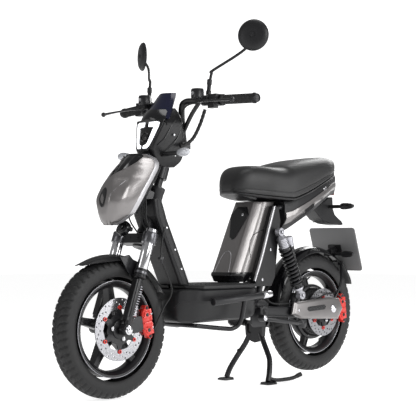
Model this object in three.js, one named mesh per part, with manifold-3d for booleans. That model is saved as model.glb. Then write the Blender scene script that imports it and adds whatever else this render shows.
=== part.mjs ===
// Electric moped with a step-through floor, built as an assembly of separate pieces.
// Millimetres. +X forward, +Y to the rider's left, +Z up. The floor is z = 0, and the origin is
// under the middle of the vehicle's bounding box. It stands on its centre stand.
import * as THREE from "three";
import { mergeVertices } from "three/addons/utils/BufferGeometryUtils.js";
import Module from "manifold-3d";

const wasm = await Module();
wasm.setup();

// ---------------------------------------------------------------- driving sizes
const wheelbase = 1021;
const frontAxleX = 537.5;
const rearLift = 16;

const tyreDiameter = 455;
const tyreWidth = 76;
const rimDiameter = 316;
const rimWidth = 54;

const rakeDegrees = 19.5;
const forkOffset = 40;
const forkSpacing = 152;
const upperForkRadius = 19;
const lowerForkRadius = 14.5;
const forkLength = 345;
const crownHeight = 292;
const crownThickness = 44;
const headTubeLength = 172;
const headTubeRadius = 27;
const stemRadius = 14;

const frontDiscRadius = 103;
const rearDiscRadius = 91;
const discThickness = 4;
const frontDiscY = 44;
const rearDiscY = 64;
const axleRadius = 8;

const floorHeight = 365;
const floorWidth = 248;
const floorThickness = 14;
const bellyHeight = 236;
const shieldTopHeight = 655;
const shieldWidth = 118;
const shieldDepth = 46;

const towerWidth = 132;
const towerDepth = 104;
const towerHeight = 262;
const towerFrontX = 16;
const panelLean = 25.2;

const seatHeight = 795;
const seatWidth = 262;
const seatFrontX = -14;
const seatRearX = -580;

const barHeight = 990;
const barHalfWidth = 330;
const barRadius = 11;
const mirrorHeight = 1203;
const mirrorRadius = 53;

const pivotX = -118;
const pivotHeight = 262;
const swingArmSpacing = 164;

const standPivotX = -168;
const standPivotHeight = 212;
const standFootX = -121;
const standWidth = 206;

const gap = 0.4;
const wall = 4;

// ---------------------------------------------------------------- derived places
const tyreRadius = tyreDiameter / 2;
const rake = THREE.MathUtils.degToRad(rakeDegrees);
const frontAxle = new THREE.Vector3(frontAxleX, 0, tyreRadius);
const rearAxle = new THREE.Vector3(frontAxleX - wheelbase, 0, tyreRadius + rearLift);
const headUp = new THREE.Vector3(-Math.sin(rake), 0, Math.cos(rake));
const headForward = new THREE.Vector3(Math.cos(rake), 0, Math.sin(rake));
const headFoot = frontAxle.clone().addScaledVector(headForward, -forkOffset);
const lean = Math.tan(THREE.MathUtils.degToRad(panelLean));
const bearingGap = 4;
const headTubeStart = crownHeight + crownThickness + bearingGap;
const headTubeEnd = headTubeStart + headTubeLength;

// The point at a distance up the steering axis, forward of it and to its left.
function onHead(up, forward = 0, left = 0) {
  const point = headFoot.clone().addScaledVector(headUp, up).addScaledVector(headForward, forward);
  point.y = left;
  return point;
}

// ---------------------------------------------------------------- solids
const { Manifold, Mesh } = wasm;
const at = (x, y, z) => new THREE.Vector3(x, y, z);

function solid(geometry) {
  const bare = geometry.clone();
  bare.deleteAttribute("normal");
  bare.deleteAttribute("uv");
  const merged = mergeVertices(bare, 1e-3);
  const made = new Manifold(
    new Mesh({
      numProp: 3,
      vertProperties: merged.attributes.position.array,
      triVerts: new Uint32Array(merged.index.array),
    }),
  );
  return made;
}

const join = (...pieces) => pieces.flat().reduce((whole, piece) => whole.add(piece));
const cut = (whole, ...tools) => tools.flat().reduce((left, tool) => left.subtract(tool), whole);

function geometryOf(made) {
  const mesh = made.getMesh();
  return new THREE.BufferGeometry()
    .setAttribute("position", new THREE.BufferAttribute(new Float32Array(mesh.vertProperties), 3))
    .setIndex(new THREE.BufferAttribute(new Uint32Array(mesh.triVerts), 1));
}

function block(sizeX, sizeY, sizeZ, centre, tilt = 0) {
  const geometry = new THREE.BoxGeometry(sizeX, sizeY, sizeZ);
  geometry.rotateY(tilt);
  geometry.translate(centre.x, centre.y, centre.z);
  return solid(geometry);
}

function ball(radius, centre, sides = 16) {
  const geometry = new THREE.SphereGeometry(radius, sides, Math.ceil(sides / 2));
  geometry.translate(centre.x, centre.y, centre.z);
  return solid(geometry);
}

function rod(from, to, radius, sides = 16, endRadius = radius) {
  const geometry = new THREE.CylinderGeometry(endRadius, radius, from.distanceTo(to), sides);
  const along = to.clone().sub(from).normalize();
  geometry.applyQuaternion(new THREE.Quaternion().setFromUnitVectors(at(0, 1, 0), along));
  const middle = from.clone().add(to).multiplyScalar(0.5);
  geometry.translate(middle.x, middle.y, middle.z);
  return solid(geometry);
}

// The radius of a bore that a bar of this radius passes through, whichever way their facets face.
const bored = (radius, sides = 16) => radius / Math.cos(Math.PI / sides) + gap;

function tube(points, radius, { sides = 10, steps = 24, squash = 1 } = {}) {
  const section = new THREE.Shape();
  for (let i = 0; i < sides; i++) {
    const turn = (2 * Math.PI * i) / sides;
    const x = radius * squash * Math.cos(turn);
    const y = radius * Math.sin(turn);
    if (i) section.lineTo(x, y);
    else section.moveTo(x, y);
  }
  section.closePath();
  const path = new THREE.CatmullRomCurve3(points, false, "centripetal");
  return solid(new THREE.ExtrudeGeometry(section, { steps, extrudePath: path, bevelEnabled: false }));
}

// A side outline, given as [x, z] pairs, made as thick as from y0 to y1.
function sideways(outline, y0, y1, bevel = 0) {
  const shape = new THREE.Shape(outline.map(([x, z]) => new THREE.Vector2(x, z)));
  const geometry = new THREE.ExtrudeGeometry(shape, {
    depth: y1 - y0 - 2 * bevel,
    bevelEnabled: bevel > 0,
    bevelThickness: bevel,
    bevelSize: bevel,
    bevelOffset: -bevel,
    bevelSegments: 2,
    curveSegments: 8,
  });
  geometry.rotateX(Math.PI / 2);
  geometry.translate(0, y1 - bevel, 0);
  return solid(geometry);
}

// A ring or disc about the Y axis. The profile is [radius, y] pairs, anticlockwise and closed.
function turned(profile, centre, sides = 48) {
  const points = profile.map(([r, y]) => new THREE.Vector2(r, y));
  if (THREE.ShapeUtils.area(points) < 0) points.reverse();
  points.push(points[0].clone());
  const geometry = new THREE.LatheGeometry(points, sides);
  geometry.translate(centre.x, centre.y, centre.z);
  return solid(geometry);
}

const disc = (radius, y0, y1, centre, sides = 32) =>
  rod(at(centre.x, centre.y + y0, centre.z), at(centre.x, centre.y + y1, centre.z), radius, sides);

// A closed skin through rings of equally many points, with both ends filled from their middles.
function loft(rings) {
  const count = rings[0].length;
  const points = rings.flat();
  const faces = [];
  for (let i = 0; i + 1 < rings.length; i++)
    for (let j = 0; j < count; j++) {
      const a = i * count + j;
      const b = i * count + ((j + 1) % count);
      faces.push([a, b, b + count], [a, b + count, a + count]);
    }
  for (const [start, turn] of [[0, -1], [(rings.length - 1) * count, 1]]) {
    const ring = points.slice(start, start + count);
    const middle = ring.reduce((sum, p) => sum.add(p), at(0, 0, 0)).divideScalar(count);
    points.push(middle);
    for (let j = 0; j < count; j++) {
      const pair = [start + j, start + ((j + 1) % count)];
      if (turn < 0) pair.reverse();
      faces.push([...pair, points.length - 1]);
    }
  }
  const volume = faces.reduce((sum, [a, b, c]) => {
    const cross = points[b].clone().cross(points[c]);
    return sum + points[a].dot(cross);
  }, 0);
  if (volume < 0) for (const face of faces) face.reverse();
  const geometry = new THREE.BufferGeometry();
  geometry.setFromPoints(points);
  geometry.setIndex(faces.flat());
  return solid(geometry);
}

// A curved panel: surface(u, v) for u and v from 0 to 1, given a thickness along inward(u, v).
function panel(surface, inward, thickness, acrossSteps, alongSteps) {
  const rings = [];
  for (let j = 0; j <= alongSteps; j++) {
    const outside = [];
    const inside = [];
    for (let i = 0; i <= acrossSteps; i++) {
      const u = i / acrossSteps;
      const v = j / alongSteps;
      outside.push(surface(u, v));
      inside.unshift(surface(u, v).addScaledVector(inward(u, v).normalize(), thickness));
    }
    rings.push([...outside, ...inside]);
  }
  const count = rings[0].length;
  const points = rings.flat();
  const faces = [];
  for (let i = 0; i + 1 < rings.length; i++)
    for (let j = 0; j < count; j++) {
      const a = i * count + j;
      const b = i * count + ((j + 1) % count);
      faces.push([a, b, b + count], [a, b + count, a + count]);
    }
  const across = acrossSteps + 1;
  for (const [start, turn] of [[0, -1], [(rings.length - 1) * count, 1]])
    for (let i = 0; i + 1 < across; i++) {
      const a = start + i;
      const b = start + i + 1;
      const c = start + count - 2 - i;
      const d = start + count - 1 - i;
      const quad = turn < 0 ? [[a, c, b], [a, d, c]] : [[a, b, c], [a, c, d]];
      faces.push(...quad);
    }
  const volume = faces.reduce((sum, [a, b, c]) => {
    const cross = points[b].clone().cross(points[c]);
    return sum + points[a].dot(cross);
  }, 0);
  if (volume < 0) for (const face of faces) face.reverse();
  const geometry = new THREE.BufferGeometry();
  geometry.setFromPoints(points);
  geometry.setIndex(faces.flat());
  return solid(geometry);
}

// ---------------------------------------------------------------- materials and the scene graph
const paint = (color, roughness, metalness) =>
  new THREE.MeshStandardMaterial({ color, roughness, metalness });
const materials = {
  greyPaint: paint(0x8f8a86, 0.35, 0.6),
  blackPlastic: paint(0x1a1a1c, 0.6, 0),
  blackMetal: paint(0x151517, 0.4, 0.5),
  silver: paint(0xc4c4c8, 0.25, 1),
  rubber: paint(0x16161a, 0.85, 0),
  leather: paint(0x333335, 0.6, 0),
  red: paint(0xc8281e, 0.35, 0.3),
  tint: paint(0x101a34, 0.1, 0.2),
  lamp: paint(0xf2f5fa, 0.1, 0),
  amber: paint(0xd9822b, 0.2, 0),
  steel: paint(0x9a9a9c, 0.35, 1),
  plate: paint(0x9b9c9e, 0.5, 0),
  battery: paint(0x2b2d31, 0.6, 0.1),
};
const moped = new THREE.Group();

function add(name, made, material) {
  const mesh = new THREE.Mesh(geometryOf(made), material);
  mesh.name = name;
  moped.add(mesh);
  return mesh;
}

const sides = [["left", 1], ["right", -1]];

// ---------------------------------------------------------------- wheels
function tyre(centre) {
  const inner = rimDiameter / 2 + gap;
  const bead = tyreWidth / 2 - 10;
  const crown = tyreRadius;
  const middle = (crown + inner) / 2 + 6;
  const half = tyreWidth / 2;
  const profile = [
    [inner, -bead],
    [middle - 22, -half + 3],
    [middle, -half],
    [middle + 20, -half + 5],
    [crown - 9, -half + 16],
    [crown, -half + 30],
    [crown, half - 30],
    [crown - 9, half - 16],
    [middle + 20, half - 5],
    [middle, half],
    [middle - 22, half - 3],
    [inner, bead],
  ];
  return turned(profile, centre, 32);
}

function rim(centre, hubRadius, hubHalf, boreRadius, spokeCount, spokeStart) {
  const outer = rimDiameter / 2;
  const half = rimWidth / 2;
  const well = outer - 16;
  const barrel = turned(
    [
      [well - 5, -half + 6],
      [outer - 5, -half],
      [outer, -half + 2],
      [outer, half - 2],
      [outer - 5, half],
      [well - 5, half - 6],
    ],
    centre,
    32,
  );
  const hub = turned(
    [
      [boreRadius, -hubHalf],
      [hubRadius, -hubHalf],
      [hubRadius, hubHalf],
      [boreRadius, hubHalf],
    ],
    centre,
    16,
  );
  const spokes = [];
  for (let i = 0; i < spokeCount; i++) {
    const turn = spokeStart + (2 * Math.PI * i) / spokeCount;
    const radial = at(Math.sin(turn), 0, Math.cos(turn));
    const sideWay = at(Math.cos(turn), 0, -Math.sin(turn));
    const ring = (radius, width, depth) => {
      const c = centre.clone().addScaledVector(radial, radius);
      return [[1, 1], [-1, 1], [-1, -1], [1, -1]].map(([a, b]) =>
        c.clone().addScaledVector(sideWay, (a * width) / 2).add(at(0, (b * depth) / 2, 0)),
      );
    };
    spokes.push(loft([ring(hubRadius - 6, 34, 34), ring(outer - 14, 20, 26)]));
  }
  return join(barrel, hub, spokes);
}

function brakeDisc(centre, radius, y, boreRadius) {
  const y0 = y - discThickness / 2;
  const y1 = y + discThickness / 2;
  return turned(
    [
      [boreRadius, y0],
      [radius, y0],
      [radius, y1],
      [boreRadius, y1],
    ],
    centre,
    24,
  );
}

const frontHubHalf = frontDiscY - discThickness / 2 - gap;
add("front_tyre", tyre(frontAxle), materials.rubber);
add("front_rim", rim(frontAxle, 26, frontHubHalf, axleRadius + 0.5, 5, 0.05), materials.blackMetal);
add("front_disc", brakeDisc(frontAxle, frontDiscRadius, frontDiscY, axleRadius + 0.5), materials.steel);

const motorRadius = 92;
const motorHalf = 44;
add("rear_tyre", tyre(rearAxle), materials.rubber);
add("rear_rim", rim(rearAxle, motorRadius + 14, 14, bored(motorRadius, 16), 5, 0.3), materials.blackMetal);
const motor = cut(
  join(
    disc(motorRadius, -motorHalf, motorHalf, rearAxle, 32),
    disc(40, motorHalf - 2, rearDiscY - discThickness / 2 - gap, rearAxle, 32),
  ),
  disc(axleRadius + 0.5, -100, 100, rearAxle, 14),
);
add("rear_hub_motor", motor, materials.blackMetal);
add("rear_disc", brakeDisc(rearAxle, rearDiscRadius, rearDiscY, axleRadius + 0.5), materials.steel);

// ---------------------------------------------------------------- fork
const forkY = forkSpacing / 2;
for (const [side, sign] of sides) {
  const y = sign * forkY;
  const upper = rod(onHead(205, forkOffset, y), onHead(forkLength, forkOffset, y), upperForkRadius, 12);
  const collar = rod(onHead(175, forkOffset, y), onHead(207, forkOffset, y), upperForkRadius + 2, 12);
  const lower = rod(onHead(10, forkOffset, y), onHead(180, forkOffset, y), lowerForkRadius, 10);
  const lug = rod(
    frontAxle.clone().setY(y - 13),
    frontAxle.clone().setY(y + 13),
    19,
    12,
  );
  const bore = rod(
    frontAxle.clone().setY(y - 30),
    frontAxle.clone().setY(y + 30),
    axleRadius + gap,
    12,
  );
  add("fork_leg_" + side, cut(join(upper, collar, lower, lug), bore), materials.silver);
}
add(
  "front_axle",
  join(
    rod(frontAxle.clone().setY(-forkY - 20), frontAxle.clone().setY(forkY + 20), axleRadius, 12),
    sides.map(([, sign]) =>
      rod(
        frontAxle.clone().setY(sign * (forkY + lowerForkRadius + 1)),
        frontAxle.clone().setY(sign * (forkY + lowerForkRadius + 9)),
        13,
        6,
      ),
    ),
  ),
  materials.steel,
);

const crownMiddle = crownHeight + crownThickness / 2;
const crownPlate = (() => {
  const pieces = [rod(onHead(crownHeight, 0), onHead(crownHeight + crownThickness, 0), 30, 20)];
  for (const [, sign] of sides) {
    const y = sign * forkY;
    const top = onHead(crownHeight + crownThickness, forkOffset, y);
    pieces.push(rod(onHead(crownHeight, forkOffset, y), top, 25, 12));
  }
  const bar = new THREE.BoxGeometry(34, forkSpacing, crownThickness - 8);
  bar.rotateY(-rake);
  const middle = onHead(crownMiddle, forkOffset - 14);
  bar.translate(middle.x, middle.y, middle.z);
  pieces.push(solid(bar));
  return join(pieces);
})();
const neckStart = headTubeEnd + bearingGap;
const neckEnd = 585;
const yokeHeight = 838;
const stem = join(
  rod(onHead(crownHeight + 2), onHead(neckEnd), stemRadius, 12),
  rod(onHead(neckStart), onHead(neckEnd), 24, 12),
  rod(onHead(neckEnd - 2), onHead(655), 18, 12),
  block(60, 108, 14, at(252, 0, yokeHeight)),
);
const forkBores = sides.map(([, sign]) =>
  rod(
    onHead(crownHeight - 20, forkOffset, sign * forkY),
    onHead(crownHeight + crownThickness + 20, forkOffset, sign * forkY),
    upperForkRadius + gap,
    12,
  ),
);
add("fork_crown", cut(join(crownPlate, stem), forkBores), materials.blackMetal);

// ---------------------------------------------------------------- front mudguard, brake and cables
const mudguardRadius = tyreRadius + 14;
const mudguardHalf = 46;
function mudguard(centre, radius, half, fromDegrees, toDegrees, thickness, steps) {
  const surface = (u, v) => {
    const across = 2 * u - 1;
    const turn = THREE.MathUtils.degToRad(fromDegrees + (toDegrees - fromDegrees) * v);
    const r = radius - 16 * across ** 4;
    return at(centre.x + r * Math.sin(turn), half * across, centre.z + r * Math.cos(turn));
  };
  const inward = (u, v) => {
    const turn = THREE.MathUtils.degToRad(fromDegrees + (toDegrees - fromDegrees) * v);
    return at(-Math.sin(turn), 0, -Math.cos(turn));
  };
  return panel(surface, inward, thickness, 4, steps);
}
const frontGuard = mudguard(frontAxle, mudguardRadius, mudguardHalf, 35, -62, 3, 10);
const guardArms = sides.map(([, sign]) =>
  block(40, 11, 66, at(frontAxleX - 63, sign * 49, 424), -rake),
);
add("front_mudguard", join(frontGuard, guardArms), materials.blackPlastic);

// A brake caliper: a block over the disc's edge, with a slot that the disc runs in.
const caliperLength = 100;
const caliperDepth = 46;
const caliperHalf = 17;
const slotHalf = 7;
function caliper(axle, turnDegrees, reach, discY, middleY) {
  const turn = THREE.MathUtils.degToRad(turnDegrees);
  const piece = (length, depth, y0, y1, radius) => {
    const geometry = new THREE.BoxGeometry(depth, y1 - y0, length);
    geometry.translate(radius, (y0 + y1) / 2, 0);
    geometry.rotateY(turn);
    geometry.translate(axle.x, 0, axle.z);
    return solid(geometry);
  };
  return cut(
    piece(caliperLength, caliperDepth, middleY - caliperHalf, middleY + caliperHalf, reach),
    piece(caliperLength + 40, caliperDepth, discY - slotHalf, discY + slotHalf, reach - 14),
  );
}
add(
  "front_caliper",
  caliper(frontAxle, 190, frontDiscRadius + 8, frontDiscY, frontDiscY + 5),
  materials.red,
);

add(
  "brake_hose",
  tube(
    [
      at(frontAxleX - 152, frontDiscY, 262),
      at(frontAxleX - 205, 62, 318),
      at(frontAxleX - 214, 74, 346),
      at(frontAxleX - 170, 96, 395),
      at(frontAxleX - 128, 108, 455),
      at(frontAxleX - 150, 100, 560),
    ],
    3.2,
    { sides: 6, steps: 12 },
  ),
  materials.rubber,
);

// ---------------------------------------------------------------- handlebar
const barSweep = 0.2416;
const barRise = 0.0179;
const barEndX = 189.5;
const riserY = 40;
const riserFootX = 240.5;

// The middle of the bar's tube at a distance from the vehicle's centre line.
const onBar = (y) =>
  at(
    barEndX + (barHalfWidth - Math.abs(y)) * barSweep,
    y,
    barHeight - 2 + (barHalfWidth - Math.abs(y)) * barRise,
  );
const mirrored = (point, sign) => at(point.x, point.y * sign, point.z);

function handlebarHalf(sign) {
  const main = tube(
    [
      onBar(barHalfWidth),
      onBar(220),
      onBar(100),
      at(255, 62, barHeight + 1),
      at(257, 46, barHeight - 18),
      at(249, riserY, barHeight - 80),
      at(riserFootX, riserY, yokeHeight + 10),
    ].map((point) => mirrored(point, sign)),
    barRadius,
    { sides: 8, steps: 18 },
  );
  const brace = tube(
    [
      at(241, 114, barHeight - 4),
      at(251, 86, barHeight - 46),
      at(246, riserY + 4, barHeight - 98),
    ].map((point) => mirrored(point, sign)),
    8,
    { sides: 8, steps: 6 },
  );
  return join(main, brace);
}
const barFoot = block(42, 104, 10, at(riserFootX, 0, yokeHeight + 12.5));
add("handlebar", join(handlebarHalf(1), handlebarHalf(-1), barFoot), materials.blackMetal);

const gripStart = 204;
for (const [side, sign] of sides) {
  const sleeve = (from, to, radius) => rod(onBar(sign * from), onBar(sign * to), radius, 10);
  const grip = cut(
    join(
      sleeve(gripStart, barHalfWidth - 4, 16),
      sleeve(gripStart, gripStart + 8, 19),
      sleeve(barHalfWidth - 12, barHalfWidth - 4, 12),
    ),
    sleeve(gripStart - 20, barHalfWidth + 20, bored(barRadius, 10)),
  );
  add("grip_" + side, grip, materials.rubber);
}

// Brake lever with its clamp, fluid cup and switch box, one piece on each side.
for (const [side, sign] of sides) {
  const clampAt = onBar(sign * 142);
  const switchAt = onBar(sign * 182);
  const clamp = rod(onBar(sign * 128), onBar(sign * 158), 18, 10);
  const switchBox = block(40, 36, 38, at(switchAt.x + 2, switchAt.y, switchAt.z));
  const bridge = block(16, 40, 20, at(switchAt.x + 2, sign * 160, switchAt.z - 2));
  const cup = rod(
    at(clampAt.x + 32, sign * 132, barHeight + 6),
    at(clampAt.x + 32, sign * 132, barHeight + 40),
    22,
    12,
  );
  const arm = block(44, 26, 20, at(clampAt.x + 18, sign * 138, barHeight + 2));
  const lever = tube(
    [
      at(clampAt.x + 26, sign * 140, barHeight - 6),
      at(292, sign * 176, barHeight - 9),
      at(300, sign * 230, barHeight - 12),
      at(297, sign * 318, barHeight - 16),
    ],
    6,
    { sides: 8, steps: 10 },
  );
  const tip = ball(9, at(297, sign * 320, barHeight - 16), 10);
  const bore = rod(onBar(sign * 100), onBar(sign * 203), bored(barRadius, 10), 10);
  const control = join(clamp, switchBox, bridge, cup, arm, lever, tip);
  add("brake_lever_" + side, cut(control, bore), materials.blackMetal);
}

// ---------------------------------------------------------------- mirrors
const mirrorCentres = { left: at(175, 302, mirrorHeight), right: at(128, -302, mirrorHeight) };
const mirrorTurn = THREE.MathUtils.degToRad(28);
for (const [side, sign] of sides) {
  const centre = mirrorCentres[side];
  const facing = at(Math.cos(mirrorTurn), sign * Math.sin(mirrorTurn), 0);
  const shell = rod(
    centre.clone().addScaledVector(facing, -8),
    centre.clone().addScaledVector(facing, 8),
    mirrorRadius,
    28,
    mirrorRadius - 8,
  );
  const root = onBar(sign * 148).add(at(-3, 0, 19));
  const stemTop = centre.clone().addScaledVector(facing, 4);
  const arm = tube(
    [
      root,
      root.clone().add(at(-4, sign * 4, 44)),
      root.clone().add(at(-10, sign * 28, 84)),
      stemTop.clone().add(at(-2, -sign * 40, -40)),
      stemTop.clone().add(at(0, -sign * 6, -4)),
    ],
    5,
    { sides: 6, steps: 10 },
  );
  const collar = rod(root, root.clone().add(at(0, 0, 14)), 9, 8);
  add("mirror_" + side, join(shell, collar, arm), materials.blackPlastic);
}

// ---------------------------------------------------------------- headlight nacelle
// A level outline with cut corners: from rear to front in x, with a half-width at each end.
function levelRing(z, xRear, xFront, halfRear, halfFront, corner) {
  const half = [
    [xFront, halfFront - corner],
    [xFront - corner, halfFront],
    [xRear + corner, halfRear],
    [xRear, halfRear - corner],
  ];
  const other = half.map(([x, y]) => [x, -y]).reverse();
  return [...half, ...other].map(([x, y]) => at(x, y, z));
}
const lampTop = 920;
const lampBottom = 824;
const lampFace = (z) => 398 - (z - lampBottom) * 0.29;
function lampBody(grow) {
  const wide = (z, shrink) => 30 + ((z - lampBottom) * 30) / (lampTop - lampBottom) - shrink + grow;
  const ring = (z, shrink) =>
    levelRing(z, lampFace(z) - 22 - grow, lampFace(z) + grow, wide(z, shrink), wide(z, shrink), 6);
  return loft([
    ring(lampBottom - grow, 6),
    ring(lampBottom + 8, 0),
    ring(lampTop - 12, 0),
    ring(lampTop + grow, 10),
  ]);
}
add("headlight", lampBody(0), materials.lamp);

const indicatorAt = at(345, 153, 808);
const indicatorBarHalf = 124;
const indicatorBar = (radius) =>
  rod(indicatorAt.clone().setY(-indicatorBarHalf), indicatorAt.clone().setY(indicatorBarHalf), radius, 10);
const pods = sides.map(([, sign]) =>
  rod(at(345, sign * 120, 808), at(352, sign * 176, 811), 13, 16, 15),
);
add("front_indicators", join(indicatorBar(6), pods), materials.amber);

const nacelleBody = loft([
  levelRing(768, 266, 334, 24, 22, 8),
  levelRing(788, 252, 370, 42, 30, 10),
  levelRing(812, 250, 392, 54, 38, 12),
  levelRing(832, 258, 394, 62, 46, 12),
  levelRing(870, 264, 382, 68, 58, 14),
  levelRing(905, 266, 368, 71, 66, 14),
  levelRing(922, 268, 352, 70, 62, 16),
  levelRing(945, 274, 330, 64, 48, 14),
  levelRing(968, 286, 308, 50, 38, 8),
]);
const nacelleRoom = [
  lampBody(gap),
  indicatorBar(6 + gap),
  block(64, 112, 30, at(252, 0, yokeHeight + 7)),
  rod(onHead(neckEnd - 20), onHead(665), bored(24, 12), 12),
  block(30, 116, 200, at(254, 0, 930)),
];
add("nacelle", cut(nacelleBody, nacelleRoom), materials.blackPlastic);

const screenTop = 1022;
const screenBottom = 928;
const screen = panel(
  (u, v) => {
    const across = 2 * u - 1;
    const half = 70 - 30 * v;
    const z = screenBottom + (screenTop - screenBottom) * v;
    return at(362 - 62 * v - 24 * across * across, half * across, z);
  },
  () => at(-0.84, 0, -0.54),
  4,
  8,
  4,
);
add("windscreen", screen, materials.tint);

add(
  "wiring_conduit",
  tube(
    [at(220, 122, 964), at(226, 104, 914), at(244, 88, 866), at(272, 76, 842), at(292, 74, 838)],
    6.5,
    { sides: 6, steps: 10 },
  ),
  materials.rubber,
);

const horn = join(
  rod(onHead(326, 84), onHead(332, 110), 26, 12),
  rod(onHead(crownHeight + crownThickness + 1, 62), onHead(332, 96), 8, 10),
);
add("horn", horn, materials.blackMetal);

// ---------------------------------------------------------------- front cowl
// Level sections from the tip upwards: nose x and half-width, outer edge x and half-width.
const cowlSections = [
  [567, 552, 4, 538, 12],
  [580, 564, 12, 524, 32],
  [604, 571, 22, 503, 55],
  [650, 572, 33, 480, 68],
  [690, 558, 26, 455, 70],
  [722, 541, 14, 431, 70],
  [767, 506, 12, 404, 68],
  [790, 484, 12, 414, 62],
  [802, 470, 12, 434, 48],
];
const cowlEdge = 15;
function cowlRing([z, noseX, noseHalf, edgeX, edgeHalf], inset, back) {
  const bulge = 9;
  const middleX = (noseX + edgeX) / 2 + bulge;
  const middleHalf = (noseHalf + edgeHalf) / 2 + bulge / 2;
  const half = [
    [noseX - inset, Math.max(noseHalf - inset / 2, 1)],
    [middleX - inset, Math.max(middleHalf - inset, 2)],
    [edgeX - inset / 2, Math.max(edgeHalf - inset, 3)],
    [edgeX - back, Math.max(edgeHalf - inset, 3)],
  ];
  const other = half.map(([x, y]) => [x, -y]).reverse();
  return [...half, ...other].map(([x, y]) => at(x, y, z));
}
const cowlOuter = loft(cowlSections.map((section) => cowlRing(section, 0, cowlEdge)));
const cowlInner = loft(
  cowlSections.slice(1).map((section, i) => {
    const last = i === cowlSections.length - 2;
    return cowlRing([section[0] - (last ? wall : 0), ...section.slice(1)], wall, cowlEdge + 40);
  }),
);
const mouth = loft([
  [at(600, -1, 726), at(600, 1, 726), at(470, 1, 726), at(470, -1, 726)],
  [at(600, -46, 803), at(600, 46, 803), at(420, 46, 803), at(420, -46, 803)],
]);
add("front_cowl", cut(cowlOuter, cowlInner, mouth), materials.greyPaint);

const backingDepth = 34;
const backing = loft(
  cowlSections.slice(2, 7).map(([z, , , edgeX, edgeHalf]) =>
    levelRing(z, edgeX - cowlEdge - backingDepth, edgeX - cowlEdge - gap, edgeHalf - 12, edgeHalf - 3, 5),
  ),
);
add("cowl_backing", backing, materials.blackPlastic);

// ---------------------------------------------------------------- main frame
const shieldLean = Math.tan(THREE.MathUtils.degToRad(26.2));
const shieldFootX = 273;
const shieldFootZ = floorHeight + 3;
const shieldFront = (z) => shieldFootX + (z - shieldFootZ) * shieldLean;
const shieldMiddle = (z) => shieldFront(z) - shieldDepth / 2;
const tubeRadius = 15;
const railY = 62;
const railHeight = 300;
const railRearX = -96;
const railDrop = 14;
const seatTubeY = 80;
const seatTubeRadius = 12;
const seatTubeFoot = at(railRearX, 0, 330);
const seatTubeHead = at(-196, 0, 640);
const seatRailRadius = 9;
const seatRailBend = at(-330, 64, 652);
const seatRailEnd = at(-560, 32, 728);
const pivot = at(pivotX, 0, pivotHeight);
const standPivot = at(standPivotX, 0, standPivotHeight);
const shockTop = at(-170, 0, 549);
const shockBottom = at(-288, 0, 316);
const shockY = 118;
const coilRadius = 26;
const frameFrontX = 236;
const downTubeTop = at(shieldMiddle(600), 0, 600);
const downTubeFoot = at(shieldMiddle(shieldFootZ), 0, shieldFootZ);
const headTube = rod(onHead(headTubeStart), onHead(headTubeEnd), headTubeRadius, 12);
const frameTubes = [
  rod(downTubeTop, downTubeFoot, tubeRadius, 10),
  rod(downTubeFoot, at(frameFrontX, 0, railHeight), tubeRadius, 10),
  rod(at(frameFrontX, -railY, railHeight), at(frameFrontX, railY, railHeight), tubeRadius, 10),
  block(48, 34, 56, onHead(headTubeStart + 118, 44), -rake),
];
const seatTube = (sign, radius) =>
  rod(seatTubeFoot.clone().setY(sign * seatTubeY), seatTubeHead.clone().setY(sign * seatTubeY), radius, 10);
const crossTube = (point, halfSpan, radius) =>
  rod(point.clone().setY(-halfSpan), point.clone().setY(halfSpan), radius, 10);
for (const [, sign] of sides) {
  const railRear = at(railRearX, sign * railY, railHeight - railDrop);
  const gussetFoot = at(railRearX, sign * (railY - 6), railHeight - railDrop);
  const seatRail = [
    seatTubeHead.clone().add(at(0, sign * seatTubeY, -2)),
    seatRailBend.clone().setY(sign * seatRailBend.y),
    seatRailEnd.clone().setY(sign * seatRailEnd.y),
  ];
  frameTubes.push(
    rod(at(frameFrontX, sign * railY, railHeight), railRear, tubeRadius, 10),
    seatTube(sign, seatTubeRadius),
    rod(gussetFoot, seatTubeFoot.clone().setY(sign * (seatTubeY + 4)), seatTubeRadius, 10),
    rod(seatRail[0], seatRail[1], seatRailRadius, 10),
    rod(seatRail[1], seatRail[2], seatRailRadius, 10),
    block(90, 8, 96, at(railRearX - 32, sign * (railY - 6), 252)),
  );
}
frameTubes.push(
  crossTube(seatTubeHead.clone().add(at(-30, 0, 1)), seatTubeY, 10),
  crossTube(seatRailEnd, seatRailEnd.y, seatRailRadius),
  crossTube(shockTop, shockY + 16, 8),
  crossTube(seatTubeFoot, seatTubeY, seatTubeRadius),
);
const frameBores = [
  rod(onHead(headTubeStart - 20), onHead(headTubeEnd + 20), stemRadius + 1, 12),
  rod(pivot.clone().setY(-90), pivot.clone().setY(90), 8 + gap, 12),
  rod(standPivot.clone().setY(-90), standPivot.clone().setY(90), 7 + gap, 12),
];
add("main_frame", cut(join(headTube, frameTubes), frameBores), materials.blackMetal);

// ---------------------------------------------------------------- leg shield and floor
const shieldOutline = (inset) => {
  const front = shieldFront;
  const low = inset ? shieldFootZ - 20 : shieldFootZ;
  const high = inset ? shieldTopHeight + 20 : shieldTopHeight;
  return [
    [front(low) - shieldDepth + inset, low],
    [front(low) - inset, low],
    [front(567) - inset, 567],
    [front(567) + 4 - inset, high],
    [front(high) - shieldDepth - 12 + inset, high],
  ];
};
const shieldHalf = shieldWidth / 2;
add(
  "leg_shield",
  cut(
    sideways(shieldOutline(0), -shieldHalf, shieldHalf, 6),
    sideways(shieldOutline(wall), wall - shieldHalf, shieldHalf - wall),
    rod(onHead(headTubeStart - 60), onHead(headTubeEnd), headTubeRadius + 6, 16),
    block(60, 40, 60, onHead(headTubeStart + 118, 44), -rake),
  ),
  materials.blackPlastic,
);

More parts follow.
